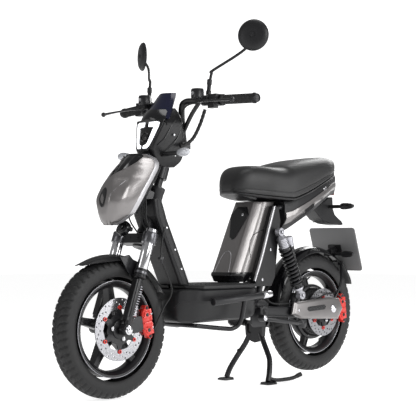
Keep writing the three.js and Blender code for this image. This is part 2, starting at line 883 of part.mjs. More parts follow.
const floorHalf = floorWidth / 2;
const trayTop = floorHeight - floorThickness - gap;
function crossRing(x, halfTop, halfBottom, zBottom, zTop, corner = 8) {
  const half = [
    [halfTop - corner, zTop],
    [halfTop, zTop - corner],
    [halfBottom + corner * 0.4, zBottom + corner],
    [halfBottom - corner, zBottom],
  ];
  const other = half.map(([y, z]) => [-y, z]).reverse();
  return [...half, ...other].map(([y, z]) => at(x, y, z));
}
const trayRings = (inset) => [
  crossRing(298 - inset * 2, 58 - inset, 46 - inset, 268 + inset, 330 + inset * 2),
  crossRing(286 - inset, 78 - inset, 64 - inset, 240 + inset, trayTop - 2 + inset * 2),
  crossRing(262 - inset, 98 - inset, 80 - inset, bellyHeight + inset, trayTop + inset * 2),
  crossRing(216 - inset, floorHalf - 4 - inset, 98 - inset, bellyHeight + inset, trayTop + inset * 2),
  crossRing(-20 + inset, floorHalf - 4 - inset, 100 - inset, bellyHeight + 4 + inset, trayTop + inset * 2),
  crossRing(-64 + inset, floorHalf - 24 - inset, 88 - inset, bellyHeight + 12 + inset, trayTop + inset * 2),
];
add(
  "belly_cover",
  cut(
    loft(trayRings(0)),
    loft(trayRings(wall)),
    rod(at(-40, -railY, railHeight - 14), at(-200, -railY, railHeight - 14), tubeRadius + 2, 12),
    rod(at(-40, railY, railHeight - 14), at(-200, railY, railHeight - 14), tubeRadius + 2, 12),
    block(60, 200, 60, at(-90, 0, 330)),
  ),
  materials.blackPlastic,
);

const deckOutline = new THREE.Shape();
deckOutline.moveTo(262, -70);
deckOutline.lineTo(262, 70);
deckOutline.lineTo(226, floorHalf);
deckOutline.lineTo(-20, floorHalf);
deckOutline.lineTo(-60, floorHalf - 22);
deckOutline.lineTo(-60, 22 - floorHalf);
deckOutline.lineTo(-20, -floorHalf);
deckOutline.lineTo(226, -floorHalf);
deckOutline.closePath();
const deckGeometry = new THREE.ExtrudeGeometry(deckOutline, {
  depth: floorThickness - 6,
  bevelEnabled: true,
  bevelThickness: 3,
  bevelSize: 3,
  bevelOffset: -3,
  bevelSegments: 1,
});
deckGeometry.translate(0, 0, floorHeight - floorThickness + 3);
add(
  "floor_board",
  cut(solid(deckGeometry), rod(at(262, 0, 430), at(232, 0, 290), tubeRadius + 6, 10)),
  materials.rubber,
);

// ---------------------------------------------------------------- foot rails
const railOutY = 160;
const stepBarRadius = 13;
const hoopRadius = 8;
const strutRadius = 7;
const stepBarFront = at(220, railOutY, 309);
const stepBarRear = at(-68, railOutY, 328);
const hoopPath = [
  at(226, 84, 226),
  at(130, 122, 214),
  at(92, 134, 214),
  at(70, 148, 240),
  at(62, railOutY, 314),
];
const strutFoots = [at(180, 126, 312), at(-10, 126, 324)];
const footRail = [rod(hoopPath[0].clone().setY(-86), hoopPath[0].clone().setY(86), hoopRadius, 10)];
for (const [, sign] of sides) {
  const across = (point) => at(point.x, sign * point.y, point.z);
  footRail.push(
    rod(across(stepBarFront), across(stepBarRear), stepBarRadius, 10),
    tube(hoopPath.map(across), hoopRadius, { sides: 8, steps: 10 }),
    ...strutFoots.map((foot) => rod(across(foot), across(foot).setY(sign * railOutY), strutRadius, 10)),
  );
}
add("foot_rails", join(footRail), materials.blackMetal);

// ---------------------------------------------------------------- battery tower
const towerFootZ = floorHeight + 4;
const towerShoulderZ = 398;
const towerTopZ = towerShoulderZ + towerHeight;
const towerFront = (z) => towerFrontX - (z - towerShoulderZ) * lean;
const towerHalf = towerWidth / 2;
const towerOutline = [
  [towerFrontX - 12, towerFootZ],
  [towerFrontX, towerShoulderZ],
  [towerFront(towerTopZ), towerTopZ],
  [towerFront(towerTopZ) - towerDepth, towerTopZ],
  [towerFrontX - towerDepth, towerShoulderZ],
  [towerFrontX - towerDepth + 8, towerFootZ],
];
const bayOutline = [
  [towerFrontX - 8, towerShoulderZ - 6],
  [towerFront(towerTopZ + 30) - 8, towerTopZ + 30],
  [towerFront(towerTopZ + 30) - towerDepth + 6, towerTopZ + 30],
  [towerFrontX - towerDepth + 6, towerShoulderZ - 6],
];
const seatHinge = at(towerFront(towerTopZ) - 4, 0, towerTopZ + 7);
const hingeBarrel = rod(seatHinge.clone().setY(-30), seatHinge.clone().setY(30), 5, 10);
const hingeFoot = block(14, 56, 12, at(seatHinge.x, 0, towerTopZ - 1));
add(
  "battery_cover",
  join(
    cut(sideways(towerOutline, -towerHalf, towerHalf, 9), sideways(bayOutline, 5 - towerHalf, towerHalf - 5)),
    hingeBarrel,
    hingeFoot,
  ),
  materials.greyPaint,
);
const packInset = 14;
const packOutline = [
  [towerFrontX - packInset - 2, towerShoulderZ - 4],
  [towerFront(towerTopZ - 22) - packInset - 2, towerTopZ - 22],
  [towerFront(towerTopZ - 22) - towerDepth + packInset, towerTopZ - 22],
  [towerFrontX - towerDepth + packInset, towerShoulderZ - 4],
];
add("battery_pack", sideways(packOutline, 8 - towerHalf, towerHalf - 8), materials.battery);

// A channel behind the tower, with a side plate over each seat tube.
const channelHalf = 67;
const channelOutline = [
  [-96, 352],
  [-160, 348],
  [-178, 405],
  [-188, 486],
  [-206, 590],
  [-196, 596],
];
const channelRoom = [
  [-60, 340],
  [-154, 340],
  [-172, 405],
  [-182, 486],
  [-198, 584],
  [-180, 640],
];
const sidePlateOutY = seatTubeY + 17;
const sidePlateOutline = [
  [-64, 353],
  [-150, 352],
  [-170, 384],
  [-178, 440],
  [-188, 520],
  [-202, 590],
  [-192, 640],
  [-172, 646],
  [-152, 600],
  [-104, 470],
  [-64, 374],
];
const seatTubeRoom = sides.map(([, sign]) => seatTube(sign, bored(seatTubeRadius, 10)));
const channel = cut(
  sideways(channelOutline, -channelHalf, channelHalf, 3),
  sideways(channelRoom, 4 - channelHalf, channelHalf - 4),
);
const sidePlates = sides.map(([, sign]) =>
  sideways(sidePlateOutline, ...[sign * (towerHalf + gap), sign * sidePlateOutY].sort((a, b) => a - b)),
);
add(
  "seat_tube_cover",
  cut(
    join(channel, sidePlates),
    seatTubeRoom,
    rod(shockTop.clone().setY(-shockY), shockTop.clone().setY(shockY), 9, 12),
  ),
  materials.blackPlastic,
);

// ---------------------------------------------------------------- seat
// Stations along the seat: x, top, bottom and half-width.
const seatStations = [
  [seatFrontX, 722, 698, 22],
  [seatFrontX - 8, 744, 692, 40],
  [seatFrontX - 24, 768, 688, 60],
  [seatFrontX - 50, 786, 684, 78],
  [seatFrontX - 84, 793, 680, 93],
  [-150, seatHeight, 676, 112],
  [-222, seatHeight - 2, 672, 126],
  [-262, seatHeight + 11, 675, seatWidth / 2],
  [-352, seatHeight + 30, 706, 130],
  [-450, seatHeight + 43, 748, 122],
  [-495, seatHeight + 48, 764, 107],
  [-532, seatHeight + 48, 776, 86],
  [seatRearX + 15, seatHeight + 38, 784, 58],
  [seatRearX, seatHeight + 22, 790, 32],
];
function seatBottomAt(x) {
  for (let i = 0; i + 1 < seatStations.length; i++) {
    const [x0, , b0] = seatStations[i];
    const [x1, , b1] = seatStations[i + 1];
    if (x <= x0 && x >= x1) return b0 + ((b1 - b0) * (x0 - x)) / (x0 - x1);
  }
  return seatStations.at(-1)[2];
}
function seatRing([x, top, bottom, half]) {
  const tall = top - bottom;
  const right = [
    [0.5 * half, top - 0.01 * tall],
    [0.82 * half, top - 0.1 * tall],
    [half, top - 0.42 * tall],
    [0.97 * half, bottom + 0.1 * tall],
    [0.86 * half, bottom],
  ];
  const left = right.map(([y, z]) => [-y, z]).reverse();
  return [[0, top], ...right, ...left].map(([y, z]) => at(x, y, z));
}
add("seat_cushion", loft(seatStations.map(seatRing)), materials.leather);

const panThickness = 7;
const panStations = seatStations.slice(1, -1);
const pan = loft(
  panStations.map(([x, , bottom, half]) => {
    const w = half * 0.8;
    const z = bottom - gap;
    return [at(x, w, z), at(x, w - 6, z - panThickness), at(x, 6 - w, z - panThickness), at(x, -w, z)];
  }),
);
// The pan's chin slopes from the nose of the seat back to the top of the tower: x, half-width and foot.
const chinStations = [
  [seatFrontX - 10, 34, 688],
  [seatFrontX - 32, 48, 678],
  [seatFrontX - 62, 58, 668],
  [seatHinge.x - 2, 58, towerTopZ + 4],
];
const chin = loft(
  chinStations.map(([x, half, foot]) => {
    const top = seatBottomAt(x) - gap - 2;
    return [at(x, half, top), at(x, half - 8, foot), at(x, 8 - half, foot), at(x, -half, top)];
  }),
);
const hingeRoom = rod(seatHinge.clone().setY(-38), seatHinge.clone().setY(38), 11, 12);
add("seat_base", cut(join(pan, chin), hingeRoom), materials.blackPlastic);

// ---------------------------------------------------------------- tail
const seatRoom = 7;
const tailStations = [
  [-226, 548, 98, 68],
  [-262, 562, 102, 74],
  [-310, 588, 105, 82],
  [-400, 630, 100, 80],
  [-480, 666, 88, 66],
  [-545, 694, 66, 48],
  [-590, 702, 46, 36],
];
const tailTop = (x) => seatBottomAt(x) - gap - panThickness - seatRoom;
const tailRings = (inset) =>
  tailStations.map(([x, bottom, half, halfLow]) =>
    crossRing(x, half - inset, halfLow - inset, bottom + inset, tailTop(x) + inset * 3, 8),
  );
const tailInner = tailRings(5);
tailInner[0].forEach((point) => (point.x += 20));
tailInner.at(-1).forEach((point) => (point.x += 6));
add("tail_fairing", cut(loft(tailRings(0)), loft(tailInner)), materials.greyPaint);

add("tail_light", sideways([[-591, 762], [-600, 756], [-606, 700], [-591, 696]], -38, 38, 3), materials.lamp);
const trayOutline = [
  [-470, 640],
  [-560, 688],
  [-588, 692],
  [-590, 646],
  [-602, 622],
  [-646, 596],
  [-655, 583],
  [-570, 585],
  [-520, 600],
];
add(
  "tail_undertray",
  cut(sideways(trayOutline, -33, 33, 4), rod(at(-566, -60, 652), at(-566, 60, 652), 7 + gap, 10)),
  materials.blackPlastic,
);

const rearIndicators = [];
for (const [, sign] of sides) {
  rearIndicators.push(
    rod(at(-566, sign * 90, 652), at(-562, sign * 154, 653), 14, 14, 11),
  );
}
const rearBar = rod(at(-566, -96, 652), at(-566, 96, 652), 7, 10);
add("rear_indicators", join(rearIndicators, rearBar), materials.amber);

// Number plate, leaning with its foot to the rear.
const plateTilt = Math.atan2(54, 170);
const plateMiddle = at(-645, 0, 485);
const plateGeometry = new THREE.BoxGeometry(3, 229, 178);
plateGeometry.rotateY(plateTilt);
plateGeometry.translate(plateMiddle.x, 0, plateMiddle.z);
add("number_plate", solid(plateGeometry), materials.plate);
const plateNormal = at(Math.cos(plateTilt), 0, -Math.sin(plateTilt));
const plateUp = at(Math.sin(plateTilt), 0, Math.cos(plateTilt));
const onPlate = (forward, up) =>
  plateMiddle.clone().addScaledVector(plateNormal, forward).addScaledVector(plateUp, up);
const backPlate = new THREE.BoxGeometry(4, 64, 40);
backPlate.rotateY(plateTilt);
const backMiddle = onPlate(4, 4);
backPlate.translate(backMiddle.x, 0, backMiddle.z);
const bracketParts = [solid(backPlate), rod(at(-640, 0, 484), at(-604, 0, 474), 12, 12)];
for (const [, sign] of sides)
  bracketParts.push(
    rod(at(-604, sign * -4, 474), at(-604, sign * 72, 466), 6, 10),
    rod(at(-604, sign * 64, 466), at(-600, sign * 124, 466), 13, 14, 10),
  );
add("plate_bracket", join(bracketParts), materials.blackPlastic);

// ---------------------------------------------------------------- swing arm, shocks and rear brake
const armHalf = swingArmSpacing / 2;
const armWidth = 20;
const swingArm = [];
for (const [, sign] of sides) {
  const y = sign * armHalf;
  const ring = (x, z, tall) =>
    [[-1, -1], [1, -1], [1, 1], [-1, 1]].map(([a, b]) => at(x, y + (a * armWidth) / 2, z + (b * tall) / 2));
  swingArm.push(
    loft([ring(pivotX + 22, pivotHeight, 34), ring(-300, 252, 44), ring(rearAxle.x - 30, rearAxle.z, 36)]),
    rod(pivot.clone().setY(y - 10), pivot.clone().setY(y + 10), 20, 12),
    rod(at(shockBottom.x, y, 270), at(shockBottom.x, y, shockBottom.z - 3), 12, 10),
    rod(shockBottom.clone().setY(y - sign * 8), shockBottom.clone().setY(sign * (shockY + 16)), 8, 12),
  );
}
swingArm.push(
  rod(at(-196, -armHalf, 262), at(-196, armHalf, 262), 15, 10),
  rod(pivot.clone().setY(-armHalf), pivot.clone().setY(armHalf), 8, 10),
  rod(rearAxle.clone().setY(-armHalf - 16), rearAxle.clone().setY(armHalf + 16), axleRadius, 12),
  block(66, 5, 30, at(rearAxle.x - 56, rearDiscY + 25, rearAxle.z + 4)),
);
add("swing_arm", join(swingArm), materials.blackMetal);

const armCover = sideways(
  [
    [-250, 246],
    [-262, 290],
    [-470, 302],
    [-528, 298],
    [-550, 258],
    [-522, 218],
    [-300, 228],
  ],
  0,
  14,
  4,
);
const armFaceY = armHalf + armWidth / 2 + gap;
const coverY = armFaceY + 8;
const coverSpacer = rod(at(-360, armFaceY, 256), at(-360, coverY + 6, 256), 12, 10);
add(
  "swing_arm_cover",
  cut(
    join(armCover.translate([0, coverY, 0]), coverSpacer),
    rod(shockBottom.clone().setY(60), shockBottom.clone().setY(160), 24, 12),
  ),
  materials.greyPaint,
);
for (const [side, sign] of sides) {
  const y = sign * shockY;
  const top = shockTop.clone().setY(y);
  const bottom = shockBottom.clone().setY(y);
  const down = bottom.clone().sub(top).normalize();
  const eye = (point) => rod(point.clone().setY(y - 11), point.clone().setY(y + 11), 15, 12);
  const along = (length) => top.clone().addScaledVector(down, length);
  const coil = rod(along(66), along(212), coilRadius, 12);
  const canisterTop = top.clone().add(at(-50, 0, -16));
  const canister = rod(canisterTop, canisterTop.clone().add(at(-26, 0, -100)), 14, 10);
  const link = rod(along(36), canisterTop.clone().add(at(-2, 0, -8)), 10, 10);
  const boreThrough = (point) => rod(point.clone().setY(y - 30), point.clone().setY(y + 30), 8 + gap, 12);
  const bores = [top, bottom].map(boreThrough);
  add(
    "rear_shock_" + side,
    cut(
      join(
        eye(top),
        eye(bottom),
        rod(top, bottom, 10, 12),
        rod(along(24), along(66), 21, 12),
        coil,
        canister,
        link,
      ),
      bores,
    ),
    materials.blackMetal,
  );
}
add("rear_caliper", caliper(rearAxle, 187, rearDiscRadius + 10, rearDiscY, rearDiscY + 5), materials.red);

const rearGuardRadius = tyreRadius + 22;
const rearGuard = mudguard(rearAxle, rearGuardRadius, 46, 92, -41, 3, 15);
const flap = panel(
  (u, v) => at(-641 - 70 * v, 42 * (2 * u - 1), 436 - 90 * v),
  () => at(0.78, 0, -0.62),
  3,
  3,
  2,
);
const guardStays = sides.map(([, sign]) =>
  join(
    rod(at(-628, sign * 43, 428), at(-556, sign * 93, 346), 5, 10),
    rod(at(-556, sign * 93, 346), at(-500, sign * 88, 270), 5, 10),
  ),
);
add("rear_mudguard", join(rearGuard, flap, guardStays), materials.blackPlastic);

// ---------------------------------------------------------------- stands
const standFoot = standWidth / 2;
const centreStand = [
  rod(standPivot.clone().setY(-48), standPivot.clone().setY(48), 12, 10),
  rod(standPivot.clone().setY(-62), standPivot.clone().setY(62), 7, 10),
  block(10, 74, 50, at(standPivotX, 0, standPivotHeight - 26)),
];
for (const [, sign] of sides)
  centreStand.push(
    tube(
      [
        at(standPivotX, sign * 26, 176),
        at(standPivotX + 2, sign * 44, 142),
        at(standPivotX + 14, sign * 82, 84),
        at(standFootX - 14, sign * 100, 40),
        at(standFootX, sign * standFoot, 8),
      ],
      10,
      { sides: 8, steps: 7 },
    ),
    block(50, 26, 10, at(standFootX, sign * standFoot, 5)),
  );
const tangPath = [at(standFootX - 6, standFoot + 2, 20), at(-176, 126, 14), at(-248, 150, 30)];
centreStand.push(
  tube(tangPath, 7, { sides: 8, steps: 6 }),
);
add("centre_stand", join(centreStand), materials.blackMetal);

const sideStandTop = at(-71, 125, 241);
const sideStandTip = at(-290, 125, 212);
add(
  "side_stand",
  join(
    rod(sideStandTop, sideStandTip, 9, 10),
    rod(sideStandTop.clone().setY(112), sideStandTop.clone().setY(136), 13, 12),
    rod(sideStandTip.clone().add(at(0, -8, 0)), sideStandTip.clone().add(at(0, 8, 0)), 18, 12),
  ),
  materials.blackMetal,
);

const bounds = new THREE.Box3().setFromObject(moped);
moped.position.x = -(bounds.min.x + bounds.max.x) / 2;

export default moped;
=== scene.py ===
import math
import random

import bmesh
import bpy
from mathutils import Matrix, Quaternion, Vector


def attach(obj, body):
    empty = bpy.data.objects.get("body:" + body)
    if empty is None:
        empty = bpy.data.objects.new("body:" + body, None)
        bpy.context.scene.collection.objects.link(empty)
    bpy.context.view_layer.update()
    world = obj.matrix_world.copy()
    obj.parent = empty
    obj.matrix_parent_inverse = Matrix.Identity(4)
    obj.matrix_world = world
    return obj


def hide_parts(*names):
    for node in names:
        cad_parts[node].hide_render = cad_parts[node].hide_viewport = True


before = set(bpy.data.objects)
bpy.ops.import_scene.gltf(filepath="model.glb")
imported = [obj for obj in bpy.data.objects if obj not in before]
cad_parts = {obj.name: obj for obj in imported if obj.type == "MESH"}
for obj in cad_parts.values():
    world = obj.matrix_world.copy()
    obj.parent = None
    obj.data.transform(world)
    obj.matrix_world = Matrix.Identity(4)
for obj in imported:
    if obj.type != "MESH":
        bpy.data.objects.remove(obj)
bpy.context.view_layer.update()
random.seed(7)

DATUM = 27.0
MM = 0.001


def at(x, y, z):
    """A point in metres, from the model's own millimetres."""
    return Vector(((x - DATUM) * MM, y * MM, z * MM))


# ------------------------------------------------------------------ main sizes, as the frame has them
TYRE_R, TYRE_HALF, RIM_R = 227.5, 38.0, 158.0
RAKE = math.radians(19.5)
FRONT_AXLE = (537.5, 227.5)
REAR_AXLE = (-483.5, 243.5)
HEAD_UP = (-math.sin(RAKE), math.cos(RAKE))
HEAD_FORWARD = (math.cos(RAKE), math.sin(RAKE))
FORK_OFFSET, FORK_Y = 40.0, 76.0
FRONT_DISC_Y, REAR_DISC_Y = 44.0, 64.0
FRONT_DISC_R, REAR_DISC_R = 103.0, 91.0
STEP_BAR_Y = 160
FRAME_RAIL_Y, SEAT_TUBE_Y, ARM_Y, SHOCK_Y = 62, 80, 82, 118
SIDE_PLATE_INNER, SIDE_PLATE_OUTER = 66.8, 96.6
TOWER_FRONT_X, TOWER_FOOT_Z, TOWER_HALF, TOWER_DEPTH = 16, 398, 66, 104
SHIELD_FOOT_X, SHIELD_FOOT_Z, SHIELD_DEPTH = 273, 368, 46
PLATE_HALF_WIDE, PLATE_HALF_TALL = 114.5, 89
SIDES = (("left", 1), ("right", -1))


def on_head(up, forward=0.0, left=0.0):
    """A point up the steering axis, forward of it and to its left."""
    ahead = forward - FORK_OFFSET
    x = FRONT_AXLE[0] + HEAD_UP[0] * up + HEAD_FORWARD[0] * ahead
    z = FRONT_AXLE[1] + HEAD_UP[1] * up + HEAD_FORWARD[1] * ahead
    return at(x, left, z)


def round_axle(axle, r, turn, y=0.0):
    """A point at radius r from an axle, turned from straight up towards the front."""
    return at(axle[0] + r * math.sin(turn), y, axle[1] + r * math.cos(turn))


HEAD_TURN = Quaternion((0, 1, 0), -RAKE)
LEFTWARD = Vector((0, 1, 0))
UPWARD = on_head(10) - on_head(9)

# ------------------------------------------------------------------ camera, lights and floor
scene = bpy.context.scene
camera_data = bpy.data.cameras.new("camera")
camera_data.lens = 101.46
camera_data.sensor_width = 36
camera = bpy.data.objects.new("camera", camera_data)
camera.location = (3.0285, 2.925, 0.501)
yaw, pitch = math.radians(-135.473), math.radians(1.816)
looking = Vector((math.cos(pitch) * math.cos(yaw), math.cos(pitch) * math.sin(yaw), math.sin(pitch)))
camera.rotation_mode = "QUATERNION"
camera.rotation_quaternion = looking.to_track_quat("-Z", "Y")
scene.collection.objects.link(camera)
scene.camera = camera

world = bpy.data.worlds.new("studio")
scene.world = world
world.use_nodes = True
dim_sky = world.node_tree.nodes["Background"]
dim_sky.inputs["Color"].default_value = (1, 1, 1, 1)
dim_sky.inputs["Strength"].default_value = 0.32
seen_sky = world.node_tree.nodes.new("ShaderNodeBackground")
seen_sky.inputs["Strength"].default_value = 1.7
either = world.node_tree.nodes.new("ShaderNodeMixShader")
ray = world.node_tree.nodes.new("ShaderNodeLightPath")
world.node_tree.links.new(ray.outputs["Is Camera Ray"], either.inputs["Fac"])
world.node_tree.links.new(dim_sky.outputs["Background"], either.inputs[1])
world.node_tree.links.new(seen_sky.outputs["Background"], either.inputs[2])
world.node_tree.links.new(either.outputs["Shader"], world.node_tree.nodes["World Output"].inputs["Surface"])
scene.view_settings.view_transform = "Standard"


def area_light(name, place, target, size, power, size_y=None):
    data = bpy.data.lights.new(name, "AREA")
    data.shape = "RECTANGLE"
    data.size = size
    data.size_y = size_y or size
    data.energy = power
    light = bpy.data.objects.new(name, data)
    light.location = place
    light.rotation_mode = "QUATERNION"
    light.rotation_quaternion = (Vector(target) - Vector(place)).to_track_quat("-Z", "Y")
    scene.collection.objects.link(light)


area_light("key", (0.3, 3.6, 1.9), (0, 0, 0.6), 1.8, 70)
area_light("front_fill", (3.6, -0.6, 1.5), (0.1, 0, 0.6), 1.4, 14)
area_light("back_rim", (-2.8, -0.8, 2.2), (-0.1, 0, 0.7), 1.6, 46)
area_light("side_strip", (-1.9, 2.6, 1.0), (-0.2, 0, 0.5), 0.5, 26, 2.2)
area_light("top", (0.2, 0.4, 3.4), (0, 0, 0.4), 1.2, 16)


# ------------------------------------------------------------------ materials
def material(
    name, colour, rough, metal=0.0, grain=900.0, depth=0.0, mottle=0.15, tone=0.12, cells=False, wear=0.0,
    **more
):
    """A Principled surface with mottled roughness and tone, a bump grain and paler worn edges."""
    made = bpy.data.materials.new(name)
    made.use_nodes = True
    tree = made.node_tree
    nodes, links = tree.nodes, tree.links
    shader = nodes["Principled BSDF"]
    shader.inputs["Metallic"].default_value = metal
    for key, value in more.items():
        shader.inputs[key.replace("_", " ")].default_value = value
    place = nodes.new("ShaderNodeTexCoord").outputs["Object"]
    cloud = nodes.new("ShaderNodeTexNoise")
    cloud.inputs["Scale"].default_value = 14
    cloud.inputs["Detail"].default_value = 6
    links.new(place, cloud.inputs["Vector"])
    roughness = nodes.new("ShaderNodeMapRange")
    roughness.inputs["To Min"].default_value = max(0.02, rough * (1 - mottle))
    roughness.inputs["To Max"].default_value = min(1.0, rough * (1 + mottle))
    links.new(cloud.outputs["Fac"], roughness.inputs["Value"])
    links.new(roughness.outputs["Result"], shader.inputs["Roughness"])
    tint = nodes.new("ShaderNodeMix")
    tint.data_type = "RGBA"
    tint.inputs["A"].default_value = (*[c * (1 - tone) for c in colour], 1)
    tint.inputs["B"].default_value = (*[min(1.0, c * (1 + tone)) for c in colour], 1)
    links.new(cloud.outputs["Fac"], tint.inputs["Factor"])
    colour_out = tint.outputs["Result"]
    if wear:
        edge = nodes.new("ShaderNodeNewGeometry")
        ramp = nodes.new("ShaderNodeMapRange")
        ramp.inputs["From Min"].default_value = 0.53
        ramp.inputs["From Max"].default_value = 0.62
        ramp.inputs["To Max"].default_value = wear
        links.new(edge.outputs["Pointiness"], ramp.inputs["Value"])
        worn = nodes.new("ShaderNodeMix")
        worn.data_type = "RGBA"
        worn.inputs["B"].default_value = (*[min(1.0, c * 2 + 0.06) for c in colour], 1)
        links.new(ramp.outputs["Result"], worn.inputs["Factor"])
        links.new(colour_out, worn.inputs["A"])
        colour_out = worn.outputs["Result"]
    links.new(colour_out, shader.inputs["Base Color"])
    if depth:
        fine = nodes.new("ShaderNodeTexVoronoi" if cells else "ShaderNodeTexNoise")
        fine.inputs["Scale"].default_value = grain
        links.new(place, fine.inputs["Vector"])
        bump = nodes.new("ShaderNodeBump")
        bump.inputs["Strength"].default_value = depth
        bump.inputs["Distance"].default_value = 0.001
        links.new(fine.outputs["Distance" if cells else "Fac"], bump.inputs["Height"])
        links.new(bump.outputs["Normal"], shader.inputs["Normal"])
    return made


GREY = material(
    "grey_paint", (0.2, 0.19, 0.188), 0.3, 0.72, 2600, 0.05, tone=0.05, wear=0.15, Coat_Weight=0.5,
    Coat_Roughness=0.1
)
SILVER = material(
    "silver_paint", (0.42, 0.415, 0.43), 0.32, 0.7, 2600, 0.05, tone=0.05, wear=0.15, Coat_Weight=0.4,
    Coat_Roughness=0.12
)
PLASTIC = material(
    "black_plastic", (0.0075, 0.0075, 0.0085), 0.4, 0.0, 2200, 0.14, wear=0.1, Specular_IOR_Level=0.34
)
GLOSS = material(
    "gloss_black", (0.004, 0.004, 0.005), 0.16, 0.0, 60, 0.02, wear=0.04, Specular_IOR_Level=0.5
)
METAL = material(
    "black_metal", (0.009, 0.009, 0.0105), 0.32, 0.15, 1600, 0.08, wear=0.2, Specular_IOR_Level=0.42
)
CHROME = material("chrome", (0.62, 0.62, 0.64), 0.12, 1.0, 500, 0.01, mottle=0.4, tone=0.03)
ALLOY = material("alloy", (0.42, 0.42, 0.45), 0.34, 0.85, 1800, 0.08, wear=0.2)
DARK_ALLOY = material("dark_alloy", (0.11, 0.11, 0.118), 0.28, 0.9, 1800, 0.06, wear=0.2)
STEEL = material("disc_steel", (0.3, 0.3, 0.315), 0.27, 0.95, 700, 0.05, tone=0.06)
RUBBER = material("rubber", (0.009, 0.009, 0.0095), 0.55, 0.0, 1300, 0.25, Specular_IOR_Level=0.35)
TYRE = material(
    "tyre_rubber", (0.0095, 0.0095, 0.01), 0.52, 0.0, 1100, 0.3, tone=0.25, Specular_IOR_Level=0.4
)
VINYL = material(
    "seat_vinyl", (0.016, 0.016, 0.0165), 0.42, 0.0, 420, 0.22, tone=0.12, cells=True, Specular_IOR_Level=0.4
)
RED = material("red_paint", (0.62, 0.016, 0.008), 0.34, 0.1, 1600, 0.06, wear=0.15, Coat_Weight=0.3)
TINT = material(
    "tinted_screen", (0.006, 0.007, 0.026), 0.12, 0.0, 40, 0.01, tone=0.05, Specular_IOR_Level=0.4
)
LENS = material("clear_lens", (0.5, 0.51, 0.54), 0.14, 0.3, 260, 0.8, tone=0.1, cells=True)
REDLENS = material("red_lens", (0.3, 0.008, 0.008), 0.14, 0.0, 260, 0.5, cells=True)
SMOKE = material("smoked_lens", (0.008, 0.008, 0.009), 0.16, 0.0, 300, 0.3, cells=True)
PLATE = material("plate_grey", (0.2, 0.2, 0.203), 0.5, 0.1, 700, 0.12, tone=0.1)
GLASS = material("mirror_glass", (0.8, 0.82, 0.84), 0.03, 1.0, 20, 0.0, tone=0.02)
GLOW = material("lamp_glow", (0.9, 0.93, 1.0), 0.3, Emission_Color=(0.94, 0.96, 1, 1), Emission_Strength=1.3)
FLOOR_RUBBER = material("floor_rubber", (0.014, 0.014, 0.015), 0.42, 0.0, 1500, 0.2, Specular_IOR_Level=0.4)
GROUND = material(
    "ground", (0.8, 0.8, 0.8), 0.8, 0.0, 300, 0.02, tone=0.01, Emission_Color=(1, 1, 1, 1),
    Emission_Strength=0.72
)


# ------------------------------------------------------------------ mesh helpers
def shade(mesh, angle=38.0):
    """Smooth faces, with an edge kept sharp where its faces turn by more than the angle."""
    work = bmesh.new()
    work.from_mesh(mesh)
    bmesh.ops.remove_doubles(work, verts=work.verts, dist=1e-6)
    bmesh.ops.recalc_face_normals(work, faces=work.faces)
    limit = math.radians(angle)
    for face in work.faces:
        face.smooth = True
    for edge in work.edges:
        edge.smooth = len(edge.link_faces) == 2 and edge.calc_face_angle(0) < limit
    work.to_mesh(mesh)
    work.free()


def piece(name, parts, surface, body, replaces=(), bevel=0.0, angle=38.0, subdivide=0, thick=0.0):
    """One object made of parts, each (vertices, faces), that rides on a body."""
    vertices, faces = [], []
    for some, more in parts:
        start = len(vertices)
        vertices.extend(some)
        faces.extend([start + i for i in face] for face in more)
    mesh = bpy.data.meshes.new(name)
    mesh.from_pydata(vertices, [], faces)
    shade(mesh, angle)
    mesh.materials.append(surface)
    made = bpy.data.objects.new(name, mesh)
    scene.collection.objects.link(made)
    if thick:
        solidify = made.modifiers.new("thickness", "SOLIDIFY")
        solidify.thickness = thick * MM
        solidify.offset = 0
    if bevel:
        rounding = made.modifiers.new("rounding", "BEVEL")
        rounding.width = bevel * MM
        rounding.segments = 3
        rounding.limit_method = "ANGLE"
        rounding.angle_limit = math.radians(angle - 8)
        rounding.harden_normals = True
    if subdivide:
        finer = made.modifiers.new("finer", "SUBSURF")
        finer.levels = finer.render_levels = subdivide
    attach(made, body)
    if replaces:
        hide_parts(*replaces)
    return made


def loft(rings, closed=True):
    """A skin over rings of points, with end faces when closed."""
    count = len(rings[0])
    vertices = [p for ring in rings for p in ring]
    faces = []
    for i in range(len(rings) - 1):
        for j in range(count):
            a, b = i * count + j, i * count + (j + 1) % count
            faces.append([a, b, b + count, a + count])
    if closed:
        faces.append(list(range(count))[::-1])
        faces.append([(len(rings) - 1) * count + j for j in range(count)])
    return vertices, faces


def grid(rows, wrap=False):
    """An open sheet through rows of points."""
    across = len(rows[0])
    vertices = [p for row in rows for p in row]
    faces = []
    for i in range(len(rows) - (0 if wrap else 1)):
        for j in range(across - 1):
            a = i * across + j
            b = ((i + 1) % len(rows)) * across + j
            faces.append([a, a + 1, b + 1, b])
    return vertices, faces


def basis(along):
    """Two directions square to an axis and to each other."""
    along = along.normalized()
    side = along.cross(Vector((0, 0, 1)))
    if side.length < 0.2:
        side = along.cross(Vector((0, 1, 0)))
    side.normalize()
    return side, along.cross(side).normalized()


def turned(profile, centre, along, segments=48, start=0.0, hollow=False):
    """A surface of revolution: profile is (radius, height) pairs in millimetres about an axis.

    A hollow one is a ring, with no end faces.
    """
    u, v = basis(along)
    along = along.normalized()
    rings = []
    for r, h in profile:
        rings.append([
            centre + along * (h * MM) + (u * math.cos(t) + v * math.sin(t)) * (max(r, 0.01) * MM)
            for t in [start + 2 * math.pi * k / segments for k in range(segments)]
        ])
    if hollow:
        return loft([*rings, rings[0]], closed=False)
    return loft(rings)


